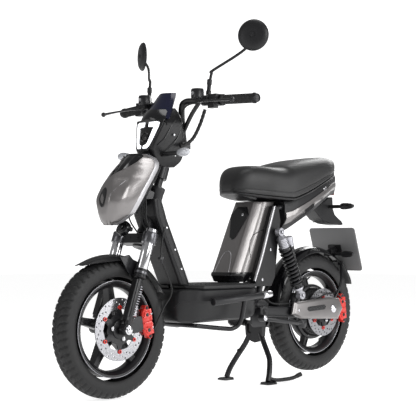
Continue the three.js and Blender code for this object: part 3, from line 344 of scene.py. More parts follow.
def bar(start, end, radius, segments=28, end_radius=None, soft=1.2):
    """A round bar with softened ends."""
    length = (end - start).length / MM
    r0, r1 = radius, radius if end_radius is None else end_radius
    profile = [
        (r0 - soft, 0), (r0 - 0.3 * soft, 0.3 * soft), (r0, soft), (r1, length - soft),
        (r1 - 0.3 * soft, length - 0.3 * soft), (r1 - soft, length)
    ]
    return turned(profile, start, end - start, segments)


def between(a, b, c, d, f):
    """The Catmull-Rom value at share f of the way from b to c."""
    return 0.5 * (2 * b + (c - a) * f + (2 * a - 5 * b + 4 * c - d) * f * f + (3 * b - a - 3 * c + d) * f**3)


def smooth_path(points, steps=8):
    """Catmull-Rom points through the given ones."""
    out = []
    padded = [points[0] * 2 - points[1], *points, points[-1] * 2 - points[-2]]
    for i in range(1, len(padded) - 2):
        for k in range(steps):
            out.append(between(*padded[i - 1 : i + 3], k / steps))
    out.append(points[-1])
    return out


def pipe(points, radius, segments=16, steps=8, radii=None, squash=1.0):
    """A tube along a smooth path. radii gives a radius at each path share from 0 to 1."""
    path = smooth_path(points, steps) if steps else points
    rings = []
    tangent = (path[1] - path[0]).normalized()
    u, v = basis(tangent)
    for i, p in enumerate(path):
        ahead = path[min(i + 1, len(path) - 1)] - path[max(i - 1, 0)]
        new = ahead.normalized()
        turn = tangent.rotation_difference(new)
        u, v, tangent = turn @ u, turn @ v, new
        r = (radii(i / (len(path) - 1)) if radii else radius) * MM
        rings.append(
            [
                p + u * (r * math.cos(t)) + v * (r * squash * math.sin(t))
                for t in [2 * math.pi * k / segments for k in range(segments)]
            ]
        )
    return loft(rings)


def helix(start, end, coil_r, wire_r, turns, segments=10, per_turn=20):
    """A coiled wire from start to end."""
    along = end - start
    u, v = basis(along)
    path = []
    for k in range(int(turns * per_turn) + 1):
        t = k / (turns * per_turn)
        a = 2 * math.pi * turns * t
        path.append(start + along * t + (u * math.cos(a) + v * math.sin(a)) * (coil_r * MM))
    return pipe(path, wire_r, segments, 0)


def slab(outline, y0, y1):
    """A side outline of (x, z) pairs, as thick as from y0 to y1."""
    return loft([[at(x, y, z) for x, z in outline] for y in (y0, y1)])


def box(size, centre, turn=None):
    """A block of (x, y, z) millimetres about a centre, turned by a quaternion."""
    sx, sy, sz = [s / 2 * MM for s in size]
    turn = turn or Quaternion()
    corners = [
        centre + turn @ Vector((a * sx, b * sy, c * sz))
        for a in (-1, 1) for b in (-1, 1) for c in (-1, 1)
    ]
    return corners, [[0, 1, 3, 2], [4, 6, 7, 5], [0, 4, 5, 1], [2, 3, 7, 6], [0, 2, 6, 4], [1, 5, 7, 3]]


def bolt(centre, along, r=6.0, h=5.0):
    """A flanged hexagon head."""
    head = turned([(r, h * 0.4), (r, h * 0.9), (r * 0.85, h), (0, h)], centre, along, 6)
    flange = turned(
        [(0, 0), (r * 1.35, 0), (r * 1.35, h * 0.35), (r * 1.1, h * 0.45), (0, h * 0.45)], centre, along, 24
    )
    return [head, flange]


def dome(centre, along, r=5.0, h=3.0):
    """A button-head screw."""
    return turned(
        [(0, 0), (r, 0), (r, h * 0.3), (r * 0.8, h * 0.8), (r * 0.45, h), (r * 0.4, h * 0.7), (0, h * 0.7)],
        centre, along, 20
    )


def softened(node, surface, body, bevel=2.0, name=None, angle=30.0):
    """A copy of a frame node with its flat faces merged and its edges rounded."""
    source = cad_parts[node]
    mesh = source.data.copy()
    mesh.name = name or node + "_skin"
    work = bmesh.new()
    work.from_mesh(mesh)
    bmesh.ops.remove_doubles(work, verts=work.verts, dist=2e-5)
    bmesh.ops.dissolve_limit(work, angle_limit=math.radians(2.0), verts=work.verts, edges=work.edges)
    work.to_mesh(mesh)
    work.free()
    shade(mesh, angle)
    mesh.materials.clear()
    mesh.materials.append(surface)
    made = bpy.data.objects.new(mesh.name, mesh)
    scene.collection.objects.link(made)
    rounding = made.modifiers.new("rounding", "BEVEL")
    rounding.width = bevel * MM
    rounding.segments = 3
    rounding.limit_method = "ANGLE"
    rounding.angle_limit = math.radians(angle)
    rounding.harden_normals = True
    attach(made, body)
    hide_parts(node)
    return made


# ------------------------------------------------------------------ wheels
def tyre_section(phi):
    """Radius and sideways distance round the tyre's section, from the crown at 0."""
    c, s = math.cos(phi), math.sin(phi)
    power = 0.86
    y = math.copysign(abs(s) ** power, s) * TYRE_HALF
    height = (TYRE_R - RIM_R) / 2
    r = RIM_R + height + math.copysign(abs(c) ** power, c) * height
    return r, y


def tyre(name, node, axle, body):
    """A tyre with chevron lugs and a zigzag centre groove."""
    around, across = 432, 52
    reach = math.radians(128)
    lugs = 54
    rows = []
    for i in range(around):
        turn = 2 * math.pi * i / around
        row = []
        for j in range(across + 1):
            phi = reach * (2 * j / across - 1)
            r, y = tyre_section(phi)
            side = abs(phi)
            depth = 0.0
            if side < 1.25:
                lean = 0.9 * side + 0.25 * math.sin(4 * side)
                shift = 0.5 if phi > 0 else 0.0
                share = (turn * lugs / (2 * math.pi) + lean + shift) % 1.0
                groove = max(0.0, 1 - abs(share - 0.5) / 0.17)
                wide = 1.0 if 0.12 < side < 1.12 else 0.35
                depth = 3.4 * min(1.0, groove * 1.6) * wide
                zigzag = 0.085 * math.sin(turn * lugs)
                if abs(phi - zigzag) < 0.07:
                    depth = 2.6
                beat = math.sin(turn * lugs + (0 if phi > 0 else math.pi))
                if abs(side - 0.62) < 0.045 and beat > -0.2:
                    depth = max(depth, 2.2)
            elif 1.28 < side < 1.36 or 1.75 < side < 1.8:
                depth = 0.7
            r -= depth * math.cos(phi)
            y -= depth * math.sin(phi)
            row.append(round_axle(axle, r, turn, y))
        rows.append(row)
    outside = grid(rows, wrap=True)
    return piece(name, [outside], TYRE, body, [node], angle=50)


def spoke(axle, turn, r0, r1, w0, w1, d0, d1, twist=0.0):
    """A cast spoke whose sides are hollowed, from one radius to another."""
    rings = []
    for k in range(9):
        t = k / 8
        r = r0 + (r1 - r0) * t
        a = turn + twist * t
        radial = Vector((math.sin(a), 0, math.cos(a)))
        sideways = Vector((math.cos(a), 0, -math.sin(a)))
        flare = 1 + 0.35 * (2 * t - 1) ** 4
        w, d = (w0 + (w1 - w0) * t) * flare / 2, (d0 + (d1 - d0) * t) / 2
        dip = 4.0 * math.sin(math.pi * t)
        shape = [
            (w, d - 2), (w - 2, d), (w * 0.55, d), (w * 0.4, d - dip), (-w * 0.4, d - dip), (-w * 0.55, d),
            (2 - w, d), (-w, d - 2)
        ]
        shape += [(a_, -b_) for a_, b_ in shape[::-1]]
        middle = at(axle[0], 0, axle[1]) + radial * (r * MM)
        rings.append([middle + sideways * (p * MM) + LEFTWARD * (q * MM) for p, q in shape])
    return loft(rings)


def rim_barrel(axle):
    """The rim's barrel, as a ring about the axle."""
    half = 27.0
    profile = [
        (RIM_R - 2, -half), (RIM_R + 1.5, -half + 0.5), (RIM_R + 1.5, -half + 3), (RIM_R - 1, -half + 5),
        (RIM_R - 1, half - 5), (RIM_R + 1.5, half - 3), (RIM_R + 1.5, half - 0.5), (RIM_R - 2, half),
        (RIM_R - 8, half - 1), (RIM_R - 12, half - 5), (RIM_R - 20, half - 11), (RIM_R - 22, half - 16),
        (RIM_R - 22, 16 - half), (RIM_R - 20, 11 - half), (RIM_R - 12, 5 - half), (RIM_R - 8, 1 - half),
        (RIM_R - 2, -half),
    ]
    centre = at(axle[0], 0, axle[1])
    vertices, faces = turned(profile, centre, LEFTWARD, 120)
    return vertices, faces[:-2]


def valve(axle, turn):
    """A bent tyre valve and its cap."""
    radial = Vector((math.sin(turn), 0, math.cos(turn)))
    root = at(axle[0], 0, axle[1]) + radial * ((RIM_R - 21) * MM)
    bend = root - radial * (14 * MM)
    return [
        pipe([root, bend, bend - radial * (8 * MM) + LEFTWARD * (14 * MM)], 2.6, 10, 6),
        bar(
            bend - radial * (8 * MM) + LEFTWARD * (13 * MM),
            bend - radial * (11 * MM) + LEFTWARD * (24 * MM), 3.4, 12
        )
    ]


def drilled_disc(name, node, axle, y, outer, inner, body, buttons, holes):
    """A brake disc with a scalloped inner edge and through holes."""
    centre = at(axle[0], y, axle[1])
    count = 180
    vertices, faces = [], []
    profile = [("o", -1.5), ("o", 1.5), ("i", 1.5), ("i", -1.5)]
    for k in range(count):
        t = 2 * math.pi * k / count
        wave = 4.0 * abs(math.cos(buttons * t / 2)) ** 0.5
        for kind, h in profile:
            r = outer if kind == "o" else inner - wave
            vertices.append(centre + Vector((r * math.sin(t), h, r * math.cos(t))) * MM)
    for k in range(count):
        for j in range(4):
            a, b = k * 4 + j, k * 4 + (j + 1) % 4
            c, d = ((k + 1) % count) * 4 + (j + 1) % 4, ((k + 1) % count) * 4 + j
            faces.append([a, b, c, d])
    disc = piece(name, [(vertices, faces)], STEEL, body, [node], angle=40)
    drills = []
    band = outer - inner
    for k in range(holes):
        t = 2 * math.pi * k / holes
        r = inner + band * (0.36 if k % 3 == 0 else 0.6 if k % 3 == 1 else 0.82)
        spot = round_axle(axle, r, t, y - 8)
        drills.append(turned([(2.9, 0), (2.9, 16)], spot, LEFTWARD, 12))
    mesh = bpy.data.meshes.new(name + "_drills")
    vs, fs = [], []
    for some, more in drills:
        start = len(vs)
        vs.extend(some)
        fs.extend([start + i for i in face] for face in more)
    mesh.from_pydata(vs, [], fs)
    tool = bpy.data.objects.new(name + "_drills", mesh)
    scene.collection.objects.link(tool)
    hole = disc.modifiers.new("holes", "BOOLEAN")
    hole.object = tool
    hole.operation = "DIFFERENCE"
    hole.solver = "EXACT"
    bpy.context.view_layer.update()
    depsgraph = bpy.context.evaluated_depsgraph_get()
    final = bpy.data.meshes.new_from_object(disc.evaluated_get(depsgraph))
    disc.modifiers.clear()
    disc.data = final
    bpy.data.objects.remove(tool)
    shade(final, 40)
    return disc


def carrier(axle, y, inner, arms, outer):
    """The star that holds a disc: a black plate with an arm at each button."""
    outline = []
    for k in range(arms * 12):
        t = 2 * math.pi * k / (arms * 12)
        lobe = max(0.0, math.cos(arms * t)) ** 2.2
        outline.append((t, inner + (outer - inner) * lobe))
    rings = []
    for h, trim in ((-3, 1), (-2, 0), (2.4, 0), (3.4, 1.2)):
        rings.append(
            [
                at(axle[0], y, axle[1]) + Vector(
                    ((r - trim) * math.sin(t), h, (r - trim) * math.cos(t))
                ) * MM
                for t, r in outline
            ]
        )
    return loft(rings)


for prefix, axle, body, disc_y, disc_r, first in (
    ("front", FRONT_AXLE, "front_wheel", FRONT_DISC_Y, FRONT_DISC_R, 0.02),
    ("rear", REAR_AXLE, "rear_wheel", REAR_DISC_Y, REAR_DISC_R, 0.3),
):
    tyre(prefix + "_tyre_tread", prefix + "_tyre", axle, body)
    front = prefix == "front"
    parts = [rim_barrel(axle)]
    hub_r = 28.0 if front else 104.0
    for k in range(5):
        turn = first + 2 * math.pi * k / 5
        if front:
            parts.append(spoke(axle, turn, hub_r - 6, RIM_R - 14, 40, 20, 44, 26, 0.06))
        else:
            parts.append(spoke(axle, turn, hub_r - 6, RIM_R - 14, 24, 20, 26, 24))
    middle = at(axle[0], 0, axle[1])
    if front:
        parts.append(
            turned(
                [(9, -40), (24, -40), (28, -34), (30, -20), (30, 20), (28, 34), (24, 41), (9, 41)], middle,
                LEFTWARD, 56, hollow=True
            )
        )
    else:
        parts.append(
            turned(
                [(96, -20), (104, -16), (106, -10), (106, 10), (104, 16), (96, 20)], middle, LEFTWARD, 96,
                hollow=True
            )
        )
    parts += valve(axle, 4.9 if front else 3.6)
    piece(prefix + "_wheel_cast", parts, METAL, body, [prefix + "_rim"], angle=32)
    # Painted highlight: a thin paler alloy ring on the rim's lip, on the left side only, stands for the
    # light along the lip.
    lip = turned(
        [(RIM_R - 1.4, 26.6), (RIM_R - 0.6, 27.2), (RIM_R + 0.4, 27), (RIM_R - 0.4, 26.2)], middle, LEFTWARD,
        140, hollow=True
    )
    piece(prefix + "_rim_lip_highlight", [lip], ALLOY, body)
    drilled_disc(prefix + "_disc_drilled", prefix + "_disc", axle, disc_y, disc_r, disc_r - 33, body, 6, 48)
    star = [carrier(axle, disc_y + 0.5, disc_r - 52, 6, disc_r - 27)]
    star.append(
        turned(
            [(disc_r - 75, -2), (disc_r - 72, 7), (disc_r - 78, 9), (0, 9)], at(axle[0], disc_y, axle[1]),
            LEFTWARD, 40
        )
    )
    piece(prefix + "_disc_carrier", star, METAL, body, angle=35)
    rings, screws = [], []
    for k in range(6):
        t = 2 * math.pi * k / 6
        spot = round_axle(axle, disc_r - 31, t, disc_y + 2)
        rings.append(
            turned(
                [(3.6, 0), (6.8, 0), (7.0, 2), (6.2, 3.6), (4.0, 3.6), (3.6, 2)], spot, LEFTWARD, 24,
                hollow=True
            )
        )
        if k % 2:
            spot = at(axle[0] + 33 * math.sin(t + 0.4), disc_y + 7, axle[1] + 33 * math.cos(t + 0.4))
            screws += bolt(spot, LEFTWARD, 5.2, 5)
    piece(prefix + "_disc_buttons", rings, RED, body)
    piece(prefix + "_disc_bolts", screws, CHROME, body)

motor_centre = at(REAR_AXLE[0], 0, REAR_AXLE[1])
motor_shape = [
    (0, -44), (36, -44), (44, -40), (70, -38), (86, -30), (91, -24), (92, -18), (92, 18), (91, 24), (86, 30),
    (70, 38), (52, 40), (40, 44), (38, 60), (0, 60)
]
motor_parts = [turned(motor_shape, motor_centre, LEFTWARD, 96)]
for k in range(40):
    t = 2 * math.pi * k / 40
    for y in (-31.0, 31.0):
        away = LEFTWARD if y > 0 else -LEFTWARD
        motor_parts.append(dome(round_axle(REAR_AXLE, 83, t, y), away, 3.0, 3.4))
piece("hub_motor_case", motor_parts, METAL, "rear_wheel", ["rear_hub_motor"], angle=32)


# ------------------------------------------------------------------ fork
for side, sign in SIDES:
    y = sign * FORK_Y
    top, seal, mid = on_head(345, FORK_OFFSET, y), on_head(207, FORK_OFFSET, y), on_head(175, FORK_OFFSET, y)
    upper = [bar(seal, top, 19, 48)]
    piece("fork_tube_" + side, upper, CHROME, "steering", ["fork_leg_" + side])
    axle_point = at(FRONT_AXLE[0], y, FRONT_AXLE[1])
    lower = [
        turned(
            [(15, 0), (19, 1), (21.5, 3), (21.5, 9), (20, 10), (20, 22), (21.5, 23), (21.5, 31), (19.5, 32)],
            mid, UPWARD, 40
        ),
        bar(on_head(8, FORK_OFFSET, y), mid, 12, 32),
        bar(on_head(30, FORK_OFFSET - 13, y), on_head(165, FORK_OFFSET - 13, y), 5, 20),
        box((30, 26, 26), on_head(2, FORK_OFFSET, y), HEAD_TURN),
        turned([(9, -13), (18, -13), (19, -11), (19, 11), (18, 13), (9, 13)], axle_point, LEFTWARD, 36),
        box((6, 24, 128), on_head(104, FORK_OFFSET + 15, y), HEAD_TURN),
        box((14, 20, 12), on_head(36, FORK_OFFSET + 9, y), HEAD_TURN),
    ]
    piece("fork_lower_" + side, lower, METAL, "steering", bevel=1.5)
    coil = [helix(on_head(44, FORK_OFFSET - 13, y), on_head(150, FORK_OFFSET - 13, y), 9.0, 1.7, 13)]
    piece("fork_spring_" + side, coil, ALLOY, "steering")
    ring = [
        turned(
            [(19.2, 0), (22, 0.5), (22, 8), (19.2, 8.5)], on_head(190, FORK_OFFSET, y), UPWARD, 40,
            hollow=True
        )
    ]
    piece("fork_seal_ring_" + side, ring, DARK_ALLOY, "steering")
    cap_ring = [
        turned(
            [(19.4, 4), (24, 4.4), (24.8, 6), (24.8, 38), (24, 40), (20, 40.5), (19, 42), (0, 42)],
            on_head(292, FORK_OFFSET, y), UPWARD, 48
        )
    ]
    piece("fork_clamp_ring_" + side, cap_ring, DARK_ALLOY, "steering")

clamp = [
    turned([(20, 0), (30, 0.5), (31, 2), (31, 42), (29, 44), (14, 44)], on_head(292), UPWARD, 48),
    turned(
        [(0, 0), (14, 0), (14, 252), (24, 252), (24, 296), (18, 298), (18, 363), (0, 363)], on_head(292),
        UPWARD, 36
    ),
    box((36, 128, 34), on_head(314, FORK_OFFSET - 13), HEAD_TURN), box((60, 108, 14), at(252, 0, 838)),
]
for x in (-46, -20, 20, 46):
    clamp.append(dome(on_head(314, FORK_OFFSET + 5, x), on_head(0, 1) - on_head(0, 0), 5, 3))
piece("fork_clamp", clamp, METAL, "steering", ["fork_crown"], bevel=2.0)

axle_parts = [bar(at(FRONT_AXLE[0], -96, FRONT_AXLE[1]), at(FRONT_AXLE[0], 96, FRONT_AXLE[1]), 7.9, 32)]
for _, sign in SIDES:
    axle_parts += bolt(at(FRONT_AXLE[0], sign * 90, FRONT_AXLE[1]), LEFTWARD * sign, 11, 9)
piece("front_axle_bolt", axle_parts, CHROME, "steering", ["front_axle"])


def guard(centre, radius, half, a0, a1, taper, lip=9.0, steps=64, across=24, point=0.0, rise=0.0):
    """A mudguard over a wheel from one angle to another, with rolled edges and a ridge.

    Its tip narrows and rises.
    """
    rows = []
    for i in range(steps + 1):
        t = i / steps
        turn = math.radians(a0 + (a1 - a0) * t)
        tip = max(0.0, 1 - t / 0.3) ** 2
        narrow = 1 - point * tip
        row = []
        for j in range(across + 1):
            s = 2 * j / across - 1
            w = half * (taper[0] + (taper[1] - taper[0]) * t) * narrow
            drop = lip * (1 - tip) * abs(s) ** 3.2 + 2.2 * min(1.0, max(0.0, (abs(s) - 0.26) / 0.08)) - 1.0
            r = radius - drop + rise * tip
            row.append(round_axle(centre, r, turn, w * s))
        rows.append(row)
    return grid(rows)


front_guard = [guard(FRONT_AXLE, TYRE_R + 14, 47, 33, -62, (0.94, 1.0), 17, point=0.55, rise=7)]
piece(
    "front_guard", front_guard, PLASTIC, "steering", ["front_mudguard"], thick=2.6,
    angle=30, subdivide=1
)
stays = []
for _, sign in SIDES:
    stay = [(540, 462), (500, 470), (474, 446), (462, 400), (478, 388), (492, 396)]
    stays.append(slab(stay, sign * 46.5, sign * 51))
    stays.append(box((34, 16, 58), on_head(196, FORK_OFFSET - 8, sign * 56), HEAD_TURN))
piece("front_guard_stays", stays, METAL, "steering", bevel=1.0)


def caliper(name, node, axle, turn, reach, y, body):
    """A finned brake caliper with lugs, bolts and its slot over the disc."""
    centre = at(axle[0], 0, axle[1])
    radial = Vector((math.cos(turn), 0, -math.sin(turn)))
    along = Vector((math.sin(turn), 0, math.cos(turn)))
    parts = []

    def spot(out, up, side):
        return centre + radial * ((reach + out) * MM) + along * (up * MM) + LEFTWARD * ((y + side) * MM)

    for low, high, scale in ((7.5, 19.0, 1.0), (-12.0, -7.5, 0.92)):
        rings = []
        for depth, trim in ((low, 2.0), (low + 1.5, 0), (high - 4, 0), (high - 1, 2.5), (high, 5.0)):
            outline = []
            for k in range(48):
                t = 2 * math.pi * k / 48
                c, s = math.cos(t), math.sin(t)
                length = (48 * scale - trim) * math.copysign(abs(c) ** 0.6, c)
                breadth = (21 * scale - trim) * math.copysign(abs(s) ** 0.75, s) * (1 - 0.22 * abs(c) ** 3)
                outline.append(spot(breadth, length, depth))
            rings.append(outline)
        parts.append(loft(rings))
    turn_q = Quaternion((0, 1, 0), turn)
    for up in (-34, -12, 12, 34):
        parts.append(box((12, 30, 15), spot(16, up, 3), turn_q))
    for up in (-20, 0, 20):
        parts.append(box((34, 5, 4), spot(-1, up, 20.5), turn_q))
    for up in (-47, 47):
        parts.append(bar(spot(4, up, -4), spot(4, up, 18), 9, 24))
    for up in (-26, 26):
        parts.append(turned([(0, 0), (12, 0), (12, 3), (9.5, 5), (0, 5)], spot(-2, up, 18), LEFTWARD, 32))
    piece(name, parts, RED, body, [node], bevel=1.2, angle=34)
    bolts = []
    for up in (-47, 47):
        bolts += bolt(spot(4, up, 17), LEFTWARD, 5, 4)
    for up in (-26, 26):
        bolts.append(
            turned(
                [(0, 0), (6, 0), (6, 1.2), (5, 2), (2.6, 2), (2.2, 1), (0, 1)], spot(-2, up, 22.6), LEFTWARD,
                28
            )
        )
    piece(name + "_bolts", bolts, METAL, body)
    banjo = spot(24, 22, 6)
    fittings = [
        *bolt(banjo, radial, 5, 7),
        bar(banjo + radial * (4 * MM), banjo + radial * (4 * MM) + along * (20 * MM), 3.6, 16)
    ]
    fittings.append(bar(spot(22, -22, 6), spot(32, -22, 8), 3.0, 14))
    fittings.append(turned([(0, 0), (5, 0), (5, 3), (0, 3)], spot(21, -22, 6), radial, 6))
    piece(name + "_banjo", fittings, CHROME, body)
    return banjo + radial * (4 * MM) + along * (18 * MM)


front_banjo = caliper(
    "front_caliper_body", "front_caliper", FRONT_AXLE, math.radians(190), 111, FRONT_DISC_Y, "steering"
)
bracket = [
    slab([(520, 236), (536, 210), (470, 214), (432, 230), (436, 262), (462, 268), (500, 262)], 55, 60)
]
piece("front_caliper_bracket", bracket, METAL, "steering", bevel=1.0)

hose = [
    front_banjo, at(350, 56, 292), at(331, 66, 326), at(334, 78, 356), at(368, 96, 395), at(410, 108, 455),
    at(404, 104, 510), at(388, 100, 560)
]
piece("brake_hose_run", [pipe(hose, 3.2, 14)], RUBBER, "steering", ["brake_hose"])
hose_ends = [box((16, 12, 8), at(410, 106, 458)), bar(at(408, 107, 440), at(410, 107, 476), 4.6, 14)]
piece("brake_hose_clip", hose_ends, METAL, "steering", bevel=1.0)


# ------------------------------------------------------------------ handlebar and its controls
BAR_HALF, BAR_H = 330.0, 990.0


def on_bar(y):
    """A point on the middle of the handlebar's outer part."""
    out = BAR_HALF - abs(y)
    return at(189.5 + out * 0.2416, y, BAR_H - 2 + out * 0.0179)


def mirrored(x, y, z, sign):
    return at(x, y * sign, z)


bars = []
for _, sign in SIDES:
    main = [(255, 62, BAR_H + 1), (257, 46, BAR_H - 18), (249, 40, BAR_H - 80), (240.5, 40, 848)]
    bars.append(
        pipe(
            [
                on_bar(sign * BAR_HALF), on_bar(sign * 220), on_bar(sign * 100)
            ] + [mirrored(*p, sign) for p in main],
            11, 24, 12
        )
    )
    brace = [(241, 114, BAR_H - 4), (251, 86, BAR_H - 46), (246, 44, BAR_H - 98)]
    bars.append(pipe([mirrored(*p, sign) for p in brace], 7.5, 20, 10))
bars.append(box((42, 104, 10), at(240.5, 0, 850.5)))
piece("handlebar_tubes", bars, METAL, "steering", ["handlebar"], bevel=1.5)


def across_bar(y0, y1, profile):
    """A sleeve on the bar's outer, straight part: profile is (radius, share of the way from y0 to y1)."""
    start, end = on_bar(y0), on_bar(y1)
    length = (end - start).length / MM
    return turned([(r, s * length) for r, s in profile], start, end - start, 40)


for side, sign in SIDES:
    ribs = [(11.2, 0), (19, 0), (19, 0.05), (16.2, 0.07)]
    for k in range(26):
        s = 0.09 + 0.82 * k / 26
        ribs += [(16.4, s), (15.2, s + 0.008), (15.2, s + 0.02), (16.4, s + 0.026)]
    ribs += [(16.4, 0.93), (18.2, 0.95), (18.2, 1.0), (11.2, 1.0)]
    piece(
        "grip_rubber_" + side, [across_bar(sign * 204, sign * 326, ribs)], RUBBER, "steering",
        ["grip_" + side]
    )
    end = on_bar(sign * 326)
    weight = turned(
        [(0, 0), (15, 0), (16, 2), (14, 11), (10, 12), (9, 10), (0, 10)], end, LEFTWARD * sign, 32
    )
    piece("bar_end_" + side, [weight], METAL, "steering")

    centre = on_bar(sign * 142)
    cx = centre.x / MM + DATUM
    parts = [
        across_bar(
            sign * 128, sign * 158, [(11.3, 0), (17.4, 0), (18, 0.05), (18, 0.95), (17.4, 1), (11.3, 1)]
        )
    ]
    switch = on_bar(sign * 182)
    sx, sz = switch.x / MM + DATUM, switch.z / MM
    parts.append(box((42, 36, 38), at(sx + 2, sign * 182, sz)))
    parts.append(box((22, 30, 18), at(sx + 18, sign * 182, sz - 20)))
    parts.append(box((16, 40, 20), at(sx + 2, sign * 160, sz - 2)))
    parts.append(box((44, 26, 20), at(cx + 18, sign * 138, BAR_H + 2)))
    blade = [
        (cx + 26, 140, BAR_H - 6), (292, 176, BAR_H - 9), (300, 230, BAR_H - 12), (299, 280, BAR_H - 14),
        (297, 318, BAR_H - 16)
    ]
    parts.append(
        pipe(
            [mirrored(*p, sign) for p in blade], 7, 18, 10,
            lambda t: 7.5 - 2.0 * math.sin(math.pi * min(1, 1.15 * t)), 0.62
        )
    )
    parts.append(
        turned(
            [(0, -9), (4.5, -7.8), (7.8, -4.5), (9, 0), (7.8, 4.5), (4.5, 7.8), (0, 9)],
            at(297, sign * 320, BAR_H - 16), LEFTWARD, 24
        )
    )
    piece("lever_set_" + side, parts, METAL, "steering", ["brake_lever_" + side], bevel=2.4)
    cup_at = at(cx + 32, sign * 132, BAR_H + 6)
    cup = turned(
        [(0, 0), (19, 0), (22, 3), (22, 29), (20.5, 31), (20.5, 33), (16, 34), (0, 34)], cup_at,
        Vector((0, 0, 1)), 48
    )
    piece("fluid_cup_" + side, [cup], METAL, "steering")
    window = turned(
        [(0, 0), (6, 0), (6, 1.4), (4.4, 1.6), (3.8, 0.9), (0, 0.9)], cup_at + Vector((21.8, 0, 17)) * MM,
        Vector((1, 0, 0)), 28
    )
    piece("cup_window_" + side, [window], CHROME, "steering")
    buttons = [
        dome(at(sx - 20, sign * y, sz + dz), Vector((-1, 0, 0)), 5, 4)
        for y, dz in ((174, 6), (188, 6), (181, -8))
    ]
    piece(
        "switch_buttons_" + side, buttons, RED if sign < 0 else SILVER, "steering",
    )

# ------------------------------------------------------------------ mirrors
MIRROR_R = 53.0
for side, sign, place in (("left", 1, (175, 302, 1203)), ("right", -1, (128, -302, 1203))):
    centre = at(*place)
    facing = Vector((math.cos(math.radians(28)), sign * math.sin(math.radians(28)), 0))
    shell = [
        (MIRROR_R - 3, -8), (MIRROR_R, -7), (MIRROR_R + 0.2, -4), (MIRROR_R - 2, 0), (MIRROR_R - 8, 4.5),
        (MIRROR_R - 20, 7.4), (20, 8), (9, 8), (8, 10.5), (0, 11)
    ]
    base = on_bar(sign * 148) + Vector((-3, 0, 19)) * MM
    stem_top = centre + facing * (4 * MM)
    knee = base + Vector((-10, sign * 6, 76)) * MM
    arm = [
        base, base + Vector((-4, sign * 2, 40)) * MM, knee, knee + Vector((-1, sign * 6, 8)) * MM,
        stem_top + Vector((-2, -sign * 40, -46)) * MM, stem_top + Vector((0, -sign * 4, -4)) * MM
    ]
    parts = [turned(shell, centre, facing, 72), pipe(arm, 4.8, 18, 10)]
    parts.append(
        turned(
            [(0, 0), (9, 0), (9, 13), (7, 15), (7, 34), (8.5, 36), (8.5, 52), (6, 54), (0, 54)], base,
            Vector((-0.08, sign * 0.04, 1)), 24
        )
    )
    piece("mirror_shell_" + side, parts, PLASTIC, "steering", ["mirror_" + side], angle=45)
    glass = turned(
        [(0, 8.2), (MIRROR_R - 5, 8.0), (MIRROR_R - 4, 7.4), (MIRROR_R - 4, 6.5), (0, 6.5)], centre, -facing,
        72
    )
    piece("mirror_glass_" + side, [glass], GLASS, "steering")

# ------------------------------------------------------------------ nacelle, lamp and screen
def level_ring(z, x_rear, x_front, half_rear, half_front, corner, steps=6):
    """A level outline with round corners, from front to rear and back."""
    points = []
    corners = [
        (x_front, half_front, 0), (x_rear, half_rear, 1), (x_rear, -half_rear, 2), (x_front, -half_front, 3)
    ]
    for x, y, k in corners:
        sx, sy = (-1 if k in (0, 3) else 1), (-1 if y > 0 else 1)
        cx, cy = x + sx * corner, y + sy * corner
        a0 = {0: 0, 1: 90, 2: 180, 3: 270}[k]
        for i in range(steps + 1):
            a = math.radians(a0 + 90 * i / steps)
            points.append(at(cx + corner * math.cos(a), cy + corner * math.sin(a), z))
    return points


def spline(values, t):
    """A Catmull-Rom value through evenly spaced rows of numbers."""
    n = len(values) - 1
    i = min(int(t * n), n - 1)
    f = t * n - i
    p = [values[max(0, min(n, k))] for k in (i - 1, i, i + 1, i + 2)]
    return [between(*values_near, f) for values_near in zip(*p)]


nacelle_rows = [
    (768, 266, 334, 24, 22, 10), (788, 252, 368, 42, 32, 12), (812, 250, 388, 54, 42, 14),
    (832, 256, 392, 62, 48, 15), (870, 262, 380, 69, 58, 16), (905, 266, 366, 72, 66, 18),
    (922, 268, 354, 71, 63, 19), (945, 274, 332, 64, 50, 17), (968, 286, 306, 50, 38, 9),
]
rings = []
for k in range(41):
    z, rear, front_x, hr, hf, corner = spline(nacelle_rows, k / 40)
    rings.append(level_ring(z, rear, front_x, hr, hf, min(corner, (front_x - rear) / 2.2)))
piece("nacelle_shell", [loft(rings)], PLASTIC, "steering", ["nacelle"], angle=60)

LAMP_LOW, LAMP_HIGH = 824.0, 920.0


def lamp_point(s, t, out):
    """On the lamp's face: s from -1 to 1 across, t from 0 at its foot to 1 at its top."""
    z = LAMP_LOW + (LAMP_HIGH - LAMP_LOW) * t
    half = 30 + 30 * t
    x = 398 - (z - LAMP_LOW) * 0.29 - 10 * s * s * (0.5 + t / 2)
    return at(x + out, half * s, z)


def lamp_strip(corners, out):
    """A raised strip that follows corners, each an (s, t) outer and inner pair."""
    rings = []
    for (s0, t0), (s1, t1) in corners:
        rings.append(
            [
                lamp_point(s0, t0, out - 3), lamp_point(s0, t0, out), lamp_point(s1, t1, out),
                lamp_point(s1, t1, out - 3)
            ]
        )
    return loft(rings)


rows = [
    [lamp_point(-1.06 + 2.12 * j / 24, -0.05 + 1.09 * i / 20, 1.5) for j in range(25)]
    for i in range(21)
]
piece("lamp_face", [grid(rows)], GLOSS, "steering", ["headlight"], thick=2.0)
glow = []
for sign in (-1, 1):
    u_shape = [
        ((0.16, 0.97), (0.2, 0.8)), ((0.72, 0.98), (0.62, 0.78)), ((0.93, 0.94), (0.68, 0.75)),
        ((0.97, 0.78), (0.62, 0.7)), ((0.95, 0.3), (0.58, 0.32)), ((0.88, 0.1), (0.56, 0.24)),
        ((0.7, 0.02), (0.46, 0.17)), ((0.16, 0.02), (0.16, 0.13))
    ]
    glow.append(lamp_strip([((a * sign, b), (c * sign, d)) for (a, b), (c, d) in u_shape], 6.0))
piece("lamp_glow_strips", glow, GLOW, "steering", bevel=1.6)
lamp_out = Vector((0.96, 0, 0.28)).normalized()
eye_at = lamp_point(0, 0.44, 0)
